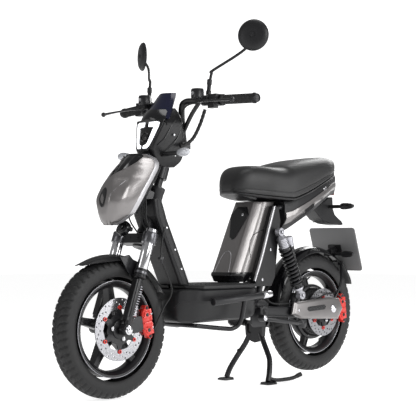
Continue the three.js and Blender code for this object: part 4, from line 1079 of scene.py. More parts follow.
projector = [
    turned(
        [(0, 6.5), (8, 5.5), (13, 2.0), (15, 0), (17, 0), (17.5, 4), (16, 6), (13.4, 5), (13, 1)], eye_at,
        lamp_out, 48
    )
]
piece("lamp_projector", projector, SMOKE, "steering")
rim_rows = [
    ((-1.1, 1.06), (-0.98, 0.985)), ((0, 1.08), (0, 1.0)), ((1.1, 1.06), (0.98, 0.985)),
    ((1.16, 0.8), (1.02, 0.8)), ((1.12, 0.2), (1.0, 0.2)), ((0.95, -0.06), (0.84, 0.0)),
    ((0, -0.1), (0, -0.03)), ((-0.95, -0.06), (-0.84, 0.0)), ((-1.12, 0.2), (-1.0, 0.2)),
    ((-1.16, 0.8), (-1.02, 0.8)), ((-1.1, 1.06), (-0.98, 0.985))
]
piece("lamp_bezel", [lamp_strip(rim_rows, 5.0)], GLOSS, "steering", bevel=1.0)

visor_rows = []
for i in range(15):
    t = i / 14
    row = []
    for j in range(25):
        s = 2 * j / 24 - 1
        half = 69 - 20 * t
        x = 372 - 14 * t + 10 * math.sin(math.pi * t) - (26 + 8 * t) * s * s
        row.append(at(x, half * s, 914 + 46 * t - 9 * abs(s) * (1 - t)))
    visor_rows.append(row)
piece("visor", [grid(visor_rows)], GLOSS, "steering", thick=3.0)
screen_rows = []
for i in range(15):
    t = i / 14
    row = []
    for j in range(33):
        s = 2 * j / 32 - 1
        half = 71 - 29 * t - 3 * max(0.0, t - 0.85) / 0.15
        fold = 4 * max(0.0, 1 - abs(abs(s) - 0.72) / 0.1)
        row.append(at(363 - 62 * t - 24 * s * s + 0.3 * fold, half * s, 928 + 94 * t))
    screen_rows.append(row)
piece("screen_tinted", [grid(screen_rows)], TINT, "steering", ["windscreen"], thick=3.2)
screws = [dome(at(356 - 8 * abs(s), 50 * s, 934), Vector((0.8, 0.2 * s, 0.5)), 4, 3) for s in (-1, 1)]
for _, sign in SIDES:
    screws.append(dome(at(315, sign * 69.5, 874), LEFTWARD * sign, 4.5, 2.6))
    screws.append(dome(at(300, sign * 58, 806), LEFTWARD * sign, 4, 2.6))
piece("nacelle_screws", screws, CHROME, "steering")
seams = []
for _, sign in SIDES:
    line = [
        at(376, sign * 50.5, 836), at(350, sign * 61, 862), at(330, sign * 67.5, 900),
        at(312, sign * 70, 922)
    ]
    seams.append(pipe(line, 1.1, 8, 8))
    line = [
        at(356, sign * 44, 806), at(318, sign * 62, 838), at(290, sign * 69, 880), at(284, sign * 71, 912)
    ]
    seams.append(pipe(line, 1.3, 8, 8))
piece("nacelle_ridges", seams, GLOSS, "steering")

stalk = [bar(at(345, -126, 808), at(345, 126, 808), 8, 20)]
piece("front_indicator_stalks", stalk, PLASTIC, "steering")
lenses = []
for _, sign in SIDES:
    start, end = at(345, sign * 120, 808), at(352, sign * 176, 811)
    lenses.append(
        turned(
            [(0, 0), (8, 1), (12, 10), (14.6, 26), (14.2, 40), (10, 50), (5, 55), (0, 57)], start,
            end - start, 32
        )
    )
piece("front_indicator_lenses", lenses, LENS, "steering", ["front_indicators"])

loom = [at(220, 122, 964), at(226, 104, 914), at(244, 88, 866), at(272, 76, 842), at(292, 74, 838)]
piece(
    "loom", [pipe(loom, 6.3, 18, 14, lambda t: 6.1 + 0.5 * math.sin(260 * t))], RUBBER, "steering",
    ["wiring_conduit"]
)
cables = []
for _, sign in SIDES:
    cables.append(
        pipe(
            [
                at(258, sign * 132, 986), at(300, sign * 110, 968), at(288, sign * 76, 930),
                at(264, sign * 58, 880), at(262, sign * 50, 850)
            ],
            2.7, 12, 10
        )
    )
cables.append(
    pipe([at(250, -120, 976), at(276, -92, 930), at(270, -70, 880), at(286, -62, 846)], 3.2, 12, 10)
)
piece("lever_cables", cables, RUBBER, "steering")

horn = [
    turned(
        [
            (0, 0), (20, 0), (25, 4), (26, 10), (26, 20), (23, 23), (19, 22), (17, 24), (6, 24), (5, 27),
            (0, 27)
        ],
        on_head(326, 84), on_head(332, 110) - on_head(326, 84), 56
    ),
    bar(on_head(338, 62), on_head(332, 96), 7.8, 16)
]
piece("horn_body", horn, GLOSS, "steering", ["horn"])

# ------------------------------------------------------------------ front cowl
cowl_rows = [
    (567, 552, 4, 538, 12), (580, 564, 12, 524, 32), (604, 571, 22, 503, 55), (650, 572, 33, 480, 68),
    (690, 558, 26, 455, 70), (722, 541, 14, 431, 70), (767, 506, 12, 404, 68), (790, 484, 12, 412, 63),
    (802, 470, 12, 430, 50),
]


def cowl_section(z):
    """The cowl's nose and edge at a height."""
    zs = [row[0] for row in cowl_rows]
    for i in range(len(zs) - 1):
        if z <= zs[i + 1] or i == len(zs) - 2:
            f = (z - zs[i]) / (zs[i + 1] - zs[i])
            p = [cowl_rows[max(0, min(len(zs) - 1, k))][1:] for k in (i - 1, i, i + 1, i + 2)]
            return [between(*values_near, f) for values_near in zip(*p)]


def cowl_point(z, s, out=0.0):
    """s runs from 0 on the centre line to 1 at the cowl's edge."""
    nose_x, nose_half, edge_x, edge_half = cowl_section(z)
    facet = min(0.42, nose_half / max(edge_half, 1))
    if s < facet:
        share = s / facet
        x, y = nose_x - 2.5 * share**3, nose_half * share
    else:
        share = (s - facet) / (1 - facet)
        bulge = 13 * math.sin(math.pi * share) ** 0.9
        x = nose_x - 2.5 + (edge_x - nose_x + 2.5) * share + bulge * 0.7
        y = nose_half + (edge_half - nose_half) * share + bulge * 0.55
        crease = max(0.0, 1 - abs(share - 0.5) / 0.16) * max(0.0, 1 - abs(z - 690) / 62)
        x += 2.4 * crease
        y += 2.4 * crease
    return x + out, y, z


MOUTH_Z, MOUTH_TOP = 726.0, 802.0


def mouth_start(z):
    """The share across at which the cowl begins, beside its mouth."""
    if z <= MOUTH_Z:
        return 0.0
    edge_half = cowl_section(z)[3]
    return min(0.86, 50 * ((z - MOUTH_Z) / (MOUTH_TOP - MOUTH_Z)) ** 0.72 / edge_half)


levels = [567 + (802 - 567) * (k / 60) for k in range(61)]
skins, edges = [], []
for sign in (1, -1):
    rows, strip = [], []
    for z in levels:
        s0 = mouth_start(z)
        row = []
        for j in range(31):
            x, y, _ = cowl_point(z, s0 + (1 - s0) * j / 30)
            row.append(at(x, sign * y, z))
        rows.append(row)
        _, _, edge_x, edge_half = cowl_section(z)
        strip.append(
            [
                at(
                    edge_x - 20 * j / 3 + (0.8 if j == 0 else 0),
                    sign * (edge_half + 0.6 - 2.0 * (j / 3) ** 2), z
                )
                for j in range(4)
            ]
        )
    skins.append(grid(rows))
    edges.append(grid(strip))
piece("cowl_skin", skins, GREY, "frame", ["front_cowl"], thick=2.6, angle=50)
piece("cowl_edge", edges, SILVER, "frame", thick=2.4, angle=50)
insert = []
for i in range(17):
    z = 720 + (806 - 720) * i / 16
    half = 3 + 50 * max(0.0, (z - MOUTH_Z + 6) / (MOUTH_TOP - MOUTH_Z + 6)) ** 0.72
    nose_x = cowl_section(min(z, 802))[0]
    insert.append(
        [
            at(
                nose_x - 12 - 34 * abs(2 * j / 20 - 1) ** 1.6 + 5 * max(
                    0, 1 - abs(abs(2 * j / 20 - 1) - 0.5) / 0.12
                ) - 0.1 * (z - 720),
                half * (2 * j / 20 - 1), z
            )
            for j in range(21)
        ]
    )
piece("cowl_mouth", [grid(insert)], GLOSS, "frame", thick=2.5)
softened("cowl_backing", PLASTIC, "frame", 4.0)
badge_outline = []
for k in range(40):
    t = 2 * math.pi * k / 40
    badge_outline.append((657 + 33 * math.sin(t), 15 * math.cos(t)))
badge_rings = []
for out, scale in ((0.5, 1.0), (2.6, 1.0), (3.2, 0.94)):
    badge_rings.append(
        [
            at(
                cowl_section(657 + (z - 657) * scale)[0] + out - 2.5 * min(1, abs(y) / 33) ** 3, y * scale,
                657 + (z - 657) * scale
            )
            for z, y in badge_outline
        ]
    )
piece("cowl_badge", [loft(badge_rings)], SMOKE, "frame", angle=30)
# Painted highlight: the thin silver lines laid along the cowl's creases stand for the light that the creases
# catch.
crease_highlights = []
for sign in (1, -1):
    for chain in ([(742, 0.93), (728, 0.72), (716, 0.56), (690, 0.5), (664, 0.42), (640, 0.5)],):
        line = []
        for z, s in chain:
            x, y, _ = cowl_point(z, s, 0.4)
            line.append(at(x, sign * y, z))
        crease_highlights.append(pipe(line, 1.0, 8, 10))
piece("cowl_crease_highlights", crease_highlights, SILVER, "frame")

# ------------------------------------------------------------------ leg shield and floor
SHIELD_SLOPE = math.tan(math.radians(26.2))


def shield_front(z):
    """The leg shield's front, at a height."""
    return SHIELD_FOOT_X + (z - SHIELD_FOOT_Z) * SHIELD_SLOPE


shield_rings = []
for k in range(37):
    z = 366 + (656 - 366) * k / 36
    front_x = shield_front(min(z, 600)) + (0 if z < 600 else (z - 600) * 0.12)
    rear_x = shield_front(z) - SHIELD_DEPTH - 12 * max(0.0, (z - 590) / 66) - 2 * math.sin(
        math.pi * (z - 366) / 290
    )
    half = 59 - 3 * max(0.0, (z - 610) / 46)
    outline = [
        (front_x, 0), (front_x, half - 10), (front_x - 3, half - 3), (front_x - 10, half),
        (front_x - 15, half - 2), (rear_x + 14, half - 2), (rear_x + 9, half), (rear_x + 3, half - 3),
        (rear_x, half - 11), (rear_x - 1.5, 20), (rear_x - 4, 14), (rear_x - 4, 0)
    ]
    outline += [(x, -y) for x, y in outline[-2:0:-1]]
    shield_rings.append([at(x, y, z) for x, y in outline])
piece(
    "shield_panel", [loft(shield_rings)], PLASTIC, "frame", ["leg_shield"], angle=25,
    bevel=1.2
)
shield_screws = []
for _, sign in SIDES:
    for z, back_off in ((560, 30), (486, 32), (420, 30)):
        shield_screws.append(dome(at(shield_front(z) - back_off, sign * 56.6, z), LEFTWARD * sign, 4.6, 3))
piece("shield_screws", shield_screws, CHROME, "frame")

softened("floor_board", FLOOR_RUBBER, "frame", 2.2)
mats = []
for k in range(11):
    y = -90 + 18 * k
    mats.append(box((236 - 0.6 * abs(y), 7, 2.2), at(96, y, 365.6)))
piece("floor_ribs", mats, FLOOR_RUBBER, "frame", bevel=1.0)
belly_rings = []
belly_rows = [
    (300, 57, 45, 270, 332), (290, 76, 62, 244, 350), (264, 97, 79, 236, 350.5), (218, 120, 97, 236, 350.5),
    (100, 120, 99, 238, 350.5), (-20, 120, 99, 240, 350.5), (-64, 101, 88, 248, 350.5)
]
for k in range(31):
    x, top_half, low_half, low, high = spline(belly_rows, k / 30)
    outline = [
        (top_half - 4, high), (top_half, high - 5), (top_half - 1, high - 40), (top_half - 8, high - 46),
        (low_half + 6, low + 22), (low_half, low + 7), (low_half - 10, low), (0, low - 0.5)
    ]
    outline = outline + [(-y, z) for y, z in outline[-2::-1]]
    belly_rings.append([at(x, y, z) for y, z in outline])
piece(
    "belly_tray", [loft(belly_rings)], PLASTIC, "frame", ["belly_cover"], angle=28,
    bevel=1.4
)

# ------------------------------------------------------------------ step bars and under-floor guards
steps, sleeves, straps = [], [], []
for _, sign in SIDES:
    a, b = at(220, sign * STEP_BAR_Y, 309), at(-68, sign * STEP_BAR_Y, 328)
    steps.append(bar(a, b, 13, 32, soft=2.5))
    mid = a.lerp(b, 0.86)
    sleeves.append(bar(mid, b + (b - a).normalized() * (3 * MM), 13.6, 36, soft=2.0))
    for x, z in ((180, 312), (-10, 324)):
        steps.append(bar(at(x, sign * 118, z), at(x, sign * STEP_BAR_Y, z), 7, 20))
    strap = [
        at(226, sign * 84, 226), at(130, sign * 122, 214), at(92, sign * 134, 214), at(70, sign * 148, 240),
        at(62, sign * STEP_BAR_Y, 314)
    ]
    straps.append(pipe(strap, 8, 20, 10))
straps.append(bar(at(226, -86, 226), at(226, 86, 226), 8, 24))
piece("step_bars", steps + straps, METAL, "frame", ["foot_rails"], angle=40)
piece("step_bar_sleeves", sleeves, CHROME, "frame")

# ------------------------------------------------------------------ main frame
frame_bars = [
    ((375, 0, 600), (250, 0, 368), 15), ((250, 0, 368), (236, 0, 300), 15),
    ((236, -FRAME_RAIL_Y, 300), (236, FRAME_RAIL_Y, 300), 15),
    ((-226, -SEAT_TUBE_Y, 641), (-226, SEAT_TUBE_Y, 641), 10), ((-560, -32, 728), (-560, 32, 728), 9),
    ((-170, -134, 549), (-170, 134, 549), 7.9), ((-96, -SEAT_TUBE_Y, 330), (-96, SEAT_TUBE_Y, 330), 12),
]
for _, s in SIDES:
    frame_bars += [
        ((236, FRAME_RAIL_Y * s, 300), (-96, FRAME_RAIL_Y * s, 286), 15),
        ((-96, SEAT_TUBE_Y * s, 330), (-196, SEAT_TUBE_Y * s, 640), 12),
        ((-96, 56 * s, 286), (-96, 84 * s, 330), 12), ((-196, SEAT_TUBE_Y * s, 638), (-330, 64 * s, 652), 9),
        ((-330, 64 * s, 652), (-560, 32 * s, 728), 9),
    ]
parts = [bar(at(*a), at(*b), r, 28) for a, b, r in frame_bars]
for _, s in SIDES:
    parts.append(
        slab(
            [(-83, 300), (-83, 216), (-96, 204), (-160, 204), (-173, 216), (-173, 288), (-150, 300)], s * 52,
            s * 60
        )
    )
parts.append(
    turned(
        [
            (15, 0), (26, 0), (28.5, 1), (28.5, 14), (27, 16), (27, 156), (28.5, 158), (28.5, 171),
            (26, 172), (15, 172)
        ],
        on_head(340), UPWARD, 48
    )
)
parts.append(box((48, 34, 56), on_head(458, 44), HEAD_TURN))
parts.append(bar(on_head(400, -6), at(372, 0, 590), 15, 28))
piece("frame_tubes", parts, METAL, "frame", ["main_frame"], angle=40)
wires = []
for y, bow, r in ((24, 46, 2.4), (30, 34, 3.2), (-26, 40, 2.6), (14, 20, 2.2)):
    wires.append(
        pipe(
            [
                at(420, y * 0.8, 700), at(410 + bow * 0.3, y * 1.4, 650), at(420, y * 1.5, 590),
                at(392, y * 1.2, 545), at(378, y, 520)
            ],
            r, 10, 10
        )
    )
piece("head_wires", wires, RUBBER, "frame")

# ------------------------------------------------------------------ battery tower
LEAN = math.tan(math.radians(25.2))


def tower_front(z):
    """The tower's leaning front, at a height."""
    return TOWER_FRONT_X - (z - TOWER_FOOT_Z) * LEAN


def tower_ring(z, grow=0.0, x_shift=0.0):
    """A level section of the tower."""
    front_x = tower_front(z) + grow + x_shift
    half = TOWER_HALF - 3 * max(0.0, (z - 600) / 60) + grow
    rear_x = tower_front(z) - TOWER_DEPTH - grow
    points = [
        (front_x, 0), (front_x - 0.5, 30), (front_x - 2, half - 20), (front_x - 3.5, half - 18),
        (front_x - 30, half - 2), (front_x - 34, half), (front_x - 60, half + 0.8), (rear_x + 16, half),
        (rear_x + 6, half - 3), (rear_x, half - 10)
    ]
    points += [(x, -y) for x, y in points[:0:-1]]
    return [at(x, y, z) for x, y in points]


tower_rings = [tower_ring(400 + (660 - 400) * k / 20) for k in range(21)]
piece(
    "tower_shell", [loft(tower_rings)], GREY, "frame", ["battery_cover", "battery_pack"],
    angle=48, bevel=1.5
)
lip = []
for z, grow in ((369, -9), (372, -5), (382, -3), (392, 1.0), (397, 2.2), (403, 2.2), (404, 0.5)):
    lip.append(tower_ring(z, grow, 0 if z > 390 else -(390 - z) * 0.55))
piece("tower_foot", [loft(lip)], GLOSS, "frame", angle=30)


def tower_side(z, depth, out):
    """A point on the tower's side, at a depth behind its front face."""
    half = TOWER_HALF - 3 * max(0.0, (z - 600) / 60)
    inset = max(0.0, 34 - depth) * 0.58
    return tower_front(z) - depth, half + 0.6 * min(1, depth / 60) - inset + out


def side_line(chain, r, sign):
    """A fine raised line down one side of the tower."""
    return pipe(
        [at(x, sign * y, z) for (x, y), z in ((tower_side(z, d, 0.15), z) for z, d in chain)], r, 8, 0
    )


grooves = []
for _, sign in SIDES:
    grooves.append(side_line([(563, 95), (552, 62), (538, 34)], 1.4, sign))
    grooves.append(side_line([(538, 34), (516, 30), (494, 34)], 1.1, sign))
    grooves.append(side_line([(494, 34), (474, 46), (455, 60)], 1.1, sign))
piece("tower_grooves", grooves, SMOKE, "frame")


def face_plate(outline, z_out, low, high):
    """A plate on the tower's leaning front face: outline is (z, y) pairs."""
    return loft(
        [
            [at(tower_front(z) + out, y * scale, z_out + (z - z_out) * scale) for z, y in outline]
            for out, scale in ((low, 1), (high, 1), (high + 0.8, 0.95))
        ]
    )


shape = [(641, -24), (641, 24), (612, 44), (527, 13), (521, 0), (527, -13), (612, -44)]
piece(
    "tower_badge", [face_plate(shape, 590, -1.0, 2.0)], GLOSS, "frame", angle=25, bevel=0.8
)
scallop = [
    pipe(
        [
            at(tower_front(z) + 0.2, y * s, z)
            for z, y in [(480, 0), (474, 14), (456, 24), (428, 31), (404, 34)]
        ],
        1.1, 8, 8
    )
    for s in (1, -1)
]
piece("tower_scallop", scallop, SILVER, "frame")
piece(
    "tower_lock",
    [
        turned(
            [(0, 0), (5.5, 0), (5.5, 2.5), (4.5, 3.4), (2, 3.4), (1.6, 2), (0, 2)],
            at(tower_front(612) + 3, 19, 612), Vector((1, 0, 0.45)), 28
        )
    ],
    CHROME, "frame"
)

strut_parts, strut_edge, strut_screws = [], [], []
strut = [
    (-64, 353), (-150, 352), (-170, 384), (-178, 440), (-188, 520), (-202, 590), (-192, 640), (-172, 646),
    (-152, 600), (-104, 470), (-64, 374)
]
for _, sign in SIDES:
    strut_parts.append(slab(strut, sign * SIDE_PLATE_INNER, sign * SIDE_PLATE_OUTER))
    strut_screws += [
        dome(at(-145, sign * SIDE_PLATE_OUTER, 485), LEFTWARD * sign, 6, 3.2),
        dome(at(-100, sign * SIDE_PLATE_OUTER, 377), LEFTWARD * sign, 6, 3.2)
    ]
    strut_edge.append(
        pipe(
            [
                at(-66, sign * 90, 372), at(-106, sign * 91, 468), at(-154, sign * 91, 598),
                at(-173, sign * 90, 642)
            ],
            6, 18, 8
        )
    )
strut_parts.append(box((20, 132, 190), at(-156, 0, 470), Quaternion((0, 1, 0), -math.radians(14))))
piece(
    "seat_struts", strut_parts, PLASTIC, "frame", ["seat_tube_cover"], angle=30, bevel=3.5
)
piece("strut_edges", strut_edge, SILVER, "frame")
piece("strut_screws", strut_screws, CHROME, "frame")

# ------------------------------------------------------------------ seat and tail
SEAT_ROWS = [
    (-14, 722, 698, 22), (-22, 744, 692, 40), (-38, 768, 688, 60), (-64, 786, 684, 78), (-98, 793, 680, 93),
    (-150, 795, 676, 112), (-222, 793, 672, 126), (-262, 806, 675, 131), (-352, 825, 706, 130),
    (-450, 838, 748, 122), (-495, 843, 764, 107), (-532, 843, 776, 86), (-565, 833, 784, 58),
    (-580, 817, 790, 32),
]


def seat_low_at(x):
    """The underside of the seat, at a distance along it."""
    rows = SEAT_ROWS
    for (x0, _, low0, _), (x1, _, low1, _) in zip(rows, rows[1:]):
        if x1 <= x <= x0:
            return low0 + (low1 - low0) * (x0 - x) / (x0 - x1)
    return rows[-1][2]


cushion = []
for k in range(57):
    x, top, low, half = spline(SEAT_ROWS, k / 56)
    low += 2
    tall = top - low
    ring = []
    outline = [
        (0, 1.0), (0.24, 0.998), (0.46, 0.985), (0.64, 0.955), (0.79, 0.9), (0.9, 0.8), (0.965, 0.66),
        (0.995, 0.5), (1.0, 0.36), (0.985, 0.22), (0.965, 0.17), (0.985, 0.12), (0.98, 0.04), (0.95, 0.0),
        (0.6, 0.0), (0.3, 0.0), (0, 0.0),
    ]
    dish = 3.0 * math.exp(-((x + 190) / 110) ** 2)
    for s, h in outline + [(-s, h) for s, h in outline[-2:0:-1]]:
        sag = dish * (1 - s * s) * h
        ring.append(at(x, half * s, low + tall * h - sag))
    cushion.append(ring)
seat_cover = piece(
    "seat_cushion_cover", [loft(cushion)], VINYL, "seat", ["seat_cushion"], angle=60,
    subdivide=1
)
piping = []
for sign in (1, -1):
    welt = []
    for k in range(1, 56):
        x, top, low, half = spline(SEAT_ROWS, k / 56)
        welt.append(at(x, sign * (half * 0.968 + 0.4), low + 2 + (top - low - 2) * 0.17))
    piping.append(pipe(welt, 1.9, 10, 0))
piece("seat_piping", piping, VINYL, "seat")
pan = []
for k in range(41):
    x, top, low, half = spline(SEAT_ROWS, 0.02 + 0.96 * k / 40)
    pan.append(
        [
            at(x, half * s, low + h)
            for s, h in (
                (0.97, 1.5), (0.975, -1), (0.95, -4.5), (0.88, -5), (-0.88, -5), (-0.95, -4.5), (-0.975, -1),
                (-0.97, 1.5)
            )
        ]
    )
chin = []
for x, half, foot in ((-24, 34, 689), (-46, 48, 679), (-76, 58, 669), (-112, 58, 665)):
    top = seat_low_at(x) - 2
    chin.append(
        [
            at(x, half * s, foot + (top - foot) * h)
            for s, h in ((0, 0), (0.8, 0), (0.97, 0.2), (1, 1), (-1, 1), (-0.97, 0.2), (-0.8, 0))
        ]
    )
piece("seat_pan", [loft(pan), loft(chin)], PLASTIC, "seat", ["seat_base"], angle=40)

TAIL_ROWS = [
    (-226, 548, 98, 68), (-262, 562, 102, 74), (-310, 588, 105, 82), (-400, 630, 100, 80),
    (-480, 666, 88, 66), (-545, 694, 66, 48), (-590, 702, 46, 36),
]


def tail_section(t):
    """The tail's section at share t of its length."""
    x, low, half, half_low = spline(TAIL_ROWS, t)
    return x, low, half, half_low, seat_low_at(x) - 11


tail_rings, band_rows = [], {1: [], -1: []}
for k in range(41):
    x, low, half, half_low, high = tail_section(k / 40)
    tall = high - low
    side = []
    for j in range(9):
        h = j / 8
        step = 2.5 * min(1.0, max(0.0, (h - 0.44) * 14))
        w = half_low + (half - half_low) * min(1.0, h / 0.42) - 5 * max(0.0, (h - 0.9) / 0.1) - step
        side.append((w, low + tall * h))
    outline = [(0, low), (half_low - 8, low), *side, (half - 14, high), (0, high)]
    tail_rings.append([at(x, y, z) for y, z in outline + [(-y, z) for y, z in outline[-2:0:-1]]])
    for sign in (1, -1):
        band = []
        for j in range(7):
            h = 0.24 + 0.4 * j / 6
            bulge = 2.4 * math.sin(math.pi * j / 6) ** 0.5
            body_half = half_low + (half - half_low) * min(1.0, h / 0.42)
            band.append(at(x, sign * (body_half - 1.0 + bulge), low + tall * h))
        band_rows[sign].append(band)
piece("tail_shell", [loft(tail_rings)], PLASTIC, "frame", ["tail_fairing"], angle=34)
bands = [grid(band_rows[s][1:-2]) for s in (1, -1)]
piece("tail_bands", bands, GREY, "frame", thick=2.4, angle=50, bevel=0.7)
blank = []
for sign in (1, -1):
    rings = []
    for out in (2.4, 4.4):
        ring = []
        for z_share, x_mid, x_span in ((0.42, -352, 50), (0.58, -352, 56)):
            for end in ((-1, 1) if z_share < 0.5 else (1, -1)):
                x = x_mid - 32 * (z_share - 0.42) + end * x_span / 2
                t = (-226 - x) / (592 - 226)
                _, low, half, _, high = tail_section(min(0.99, max(0.0, t * 0.98)))
                ring.append(at(x, sign * (half + out - 0.4), low + (high - low) * z_share))
        rings.append(ring)
    blank.append(loft(rings))
piece("tail_blank_panel", blank, SMOKE, "frame", bevel=0.8)
latch = turned(
    [(0, 0), (9, 0), (9, 3), (7.5, 4.2), (3, 4.2), (2.4, 2.6), (0, 2.6)], at(-470, 86, 716), LEFTWARD, 32
)
piece("seat_lock", [latch], CHROME, "frame")

lamp_rows = []
for i in range(15):
    t = i / 14
    row = []
    for j in range(17):
        s = 2 * j / 16 - 1
        x = -592.5 - 9 * math.sin(math.pi * min(1, 0.12 + 0.8 * t)) * (1 - 0.7 * s * s) - 3 * (1 - s * s)
        row.append(at(x, s * (36 - 4 * (1 - t)), 699 + 60 * t))
    lamp_rows.append(row)
piece("tail_lens", [grid(lamp_rows)], REDLENS, "frame", ["tail_light"], thick=4, angle=50)
rows = []
for t in (0.25, 0.5, 0.75):
    rows.append(bar(at(-604, -24, 699 + 60 * t), at(-604, 24, 699 + 60 * t), 1.4, 10))
piece("tail_lens_rows", rows, REDLENS, "frame")
tray = [
    (-470, 641), (-520, 664), (-560, 687), (-588, 691), (-590, 646), (-602, 622), (-622, 609), (-646, 596),
    (-655, 583), (-640, 580), (-570, 586), (-520, 601)
]
piece(
    "plate_arm", [slab(tray, -32.5, 32.5)], PLASTIC, "frame", ["tail_undertray"], bevel=3.5,
    angle=34
)
ribs = [box((56, 3, 3), at(-552, y, 592)) for y in (-18, -6, 6, 18)]
piece("plate_arm_ribs", ribs, PLASTIC, "frame", bevel=0.8)

pods, pod_lenses = [bar(at(-566, -96, 652), at(-566, 96, 652), 7, 20)], []
for _, sign in SIDES:
    start, end = at(-566, sign * 90, 652), at(-562, sign * 156, 653)
    pods.append(
        turned(
            [(0, 0), (9, 0), (13, 6), (14.6, 16), (14, 34), (11, 54), (6, 63), (0, 65)], start, end - start,
            6, 0.0
        )
    )
    rear_of = [
        (-577, 98, 660), (-578, 120, 661), (-573, 148, 658), (-573, 148, 647), (-578, 120, 643),
        (-577, 98, 644)
    ]
    pod_lenses.append(loft([[at(x + dx, sign * y, z) for x, y, z in rear_of] for dx in (3, -2.4)]))
piece("rear_indicator_pods", pods, PLASTIC, "frame", ["rear_indicators"], bevel=1.6)
piece("rear_indicator_lenses", pod_lenses, LENS, "frame", bevel=1.0)

# ------------------------------------------------------------------ number plate and its bracket
PLATE_TILT = math.atan2(54, 170)
plate_turn = Quaternion((0, 1, 0), PLATE_TILT)


def on_plate(out, y, up):
    """A point by the plate: out towards the rear, y to the left and up along it."""
    return at(-645, 0, 485) + plate_turn @ (Vector((-out, y, up)) * MM)


def plate_outline(half_wide, half_tall, corner, out, shift=0.0):
    """A round-cornered outline parallel to the number plate."""
    ring = []
    for cy, cz, a0 in ((1, 1, 0), (-1, 1, 90), (-1, -1, 180), (1, -1, 270)):
        for i in range(7):
            a = math.radians(a0 + 15 * i)
            ring.append(
                on_plate(
                    out, cy * (half_wide - corner) + corner * math.cos(a),
                    shift + cz * (half_tall - corner) + corner * math.sin(a)
                )
            )
    return ring


plate = loft(
    [
        plate_outline(113.9, 88.4, 12, -1.5), plate_outline(PLATE_HALF_WIDE, PLATE_HALF_TALL, 12.5, -1.1),
        plate_outline(PLATE_HALF_WIDE, PLATE_HALF_TALL, 12.5, 1.1), plate_outline(113.9, 88.4, 12, 1.5)
    ]
)
piece("plate_blank", [plate], PLATE, "frame", ["number_plate"], angle=40)
rim_of_plate = loft(
    [
        plate_outline(110, 84.5, 10, 1.4), plate_outline(109.5, 84, 10, 2.2),
        plate_outline(107.5, 82, 9, 2.2), plate_outline(107, 81.5, 9, 1.4)
    ],
    closed=False
)
piece("plate_border", [rim_of_plate], PLATE, "frame", angle=50)
carrier_parts = [
    loft([plate_outline(32, 20, 6, -5.6), plate_outline(32, 20, 6, -1.7)]),
    bar(at(-642, 0, 484), at(-604, 0, 474), 12, 24),
    bar(at(-604, -72, 466), at(-604, 72, 466), 6, 18),
    box((24, 40, 24), at(-606, 0, 470)),
]
lamps = []
for _, sign in SIDES:
    start, end = at(-604, sign * 64, 466), at(-600, sign * 126, 466)
    carrier_parts.append(
        turned(
            [(0, 0), (9, 0), (13, 8), (13.4, 24), (11.6, 44), (7, 58), (0, 61)], start, end - start, 6, 0.3
        )
    )
    lamps.append(turned([(0, 58), (6, 57.4), (7, 55), (7, 52)], start, end - start, 24))
piece("plate_carrier", carrier_parts, PLASTIC, "frame", ["plate_bracket"], bevel=1.4)
screws = []
for y in (-40, 40):
    screws.append(dome(on_plate(1.5, y, 52), plate_turn @ Vector((-1, 0, 0)), 5, 3))
piece("plate_screws", screws, CHROME, "frame")

# ------------------------------------------------------------------ swing arm and its cover
arm_parts = []
for _, sign in SIDES:
    rings = []
    arm_rows = [
        (-96, 262, 15), (-104, 262, 17), (-200, 257, 20), (-300, 252, 22), (-400, 248.5, 20),
        (-480, 245, 18.5), (-508, 243.5, 18), (-514, 243.5, 14)
    ]
    for x, z, tall in arm_rows:
        ring = []
        for k in range(24):
            t = 2 * math.pi * k / 24
            y = ARM_Y + 9.6 * math.copysign(abs(math.cos(t)) ** 0.45, math.cos(t))
            ring.append(at(x, sign * y, z + tall * math.copysign(abs(math.sin(t)) ** 0.5, math.sin(t))))
        rings.append(ring)
    arm_parts.append(loft(rings))
    arm_parts.append(
        turned(
            [(0, -10), (19, -10), (20, -9), (20, 9), (19, 10), (0, 10)], at(-118, sign * ARM_Y, 262),
            LEFTWARD, 40
        )
    )
    arm_parts += bolt(at(-118, sign * 92, 262), LEFTWARD * sign, 8, 6)
    arm_parts.append(bar(at(-288, sign * ARM_Y, 270), at(-288, sign * ARM_Y, 313), 12, 28))
    arm_parts.append(bar(at(-288, sign * 74, 316), at(-288, sign * 134, 316), 7.8, 24))
    arm_parts.append(box((48, 4, 20), at(-486, sign * 93.4, 244)))
arm_parts.append(bar(at(-196, -ARM_Y, 262), at(-196, ARM_Y, 262), 15, 28))
piece("swing_arm_tubes", arm_parts, METAL, "frame", ["swing_arm"], angle=40)
adjusters = []
for _, sign in SIDES:
    adjusters += bolt(at(-483.5, sign * 99, 243.5), LEFTWARD * sign, 12, 10)
    adjusters.append(bar(at(-512, sign * ARM_Y, 243.5), at(-526, sign * ARM_Y, 243.5), 3.4, 14))
    adjusters.append(
        turned([(0, 0), (6, 0), (6, 5), (0, 5)], at(-516, sign * ARM_Y, 243.5), Vector((-1, 0, 0)), 6)
    )
    adjusters.append(bar(at(-483.5, sign * 84, 243.5), at(-483.5, sign * 99, 243.5), 7.9, 28))
piece("rear_axle_nuts", adjusters, CHROME, "frame")

cover = [
    (-250, 246), (-262, 290), (-360, 297), (-470, 302), (-528, 298), (-550, 258), (-522, 218), (-410, 223),
    (-300, 228)
]
ARM_MID = (-400, 259)


def inset(outline, share):
    """An outline drawn in towards the middle of the arm's cover."""
    return [
        (ARM_MID[0] + (x - ARM_MID[0]) * (1 - share * 0.5), ARM_MID[1] + (z - ARM_MID[1]) * (1 - share))
        for x, z in outline
    ]


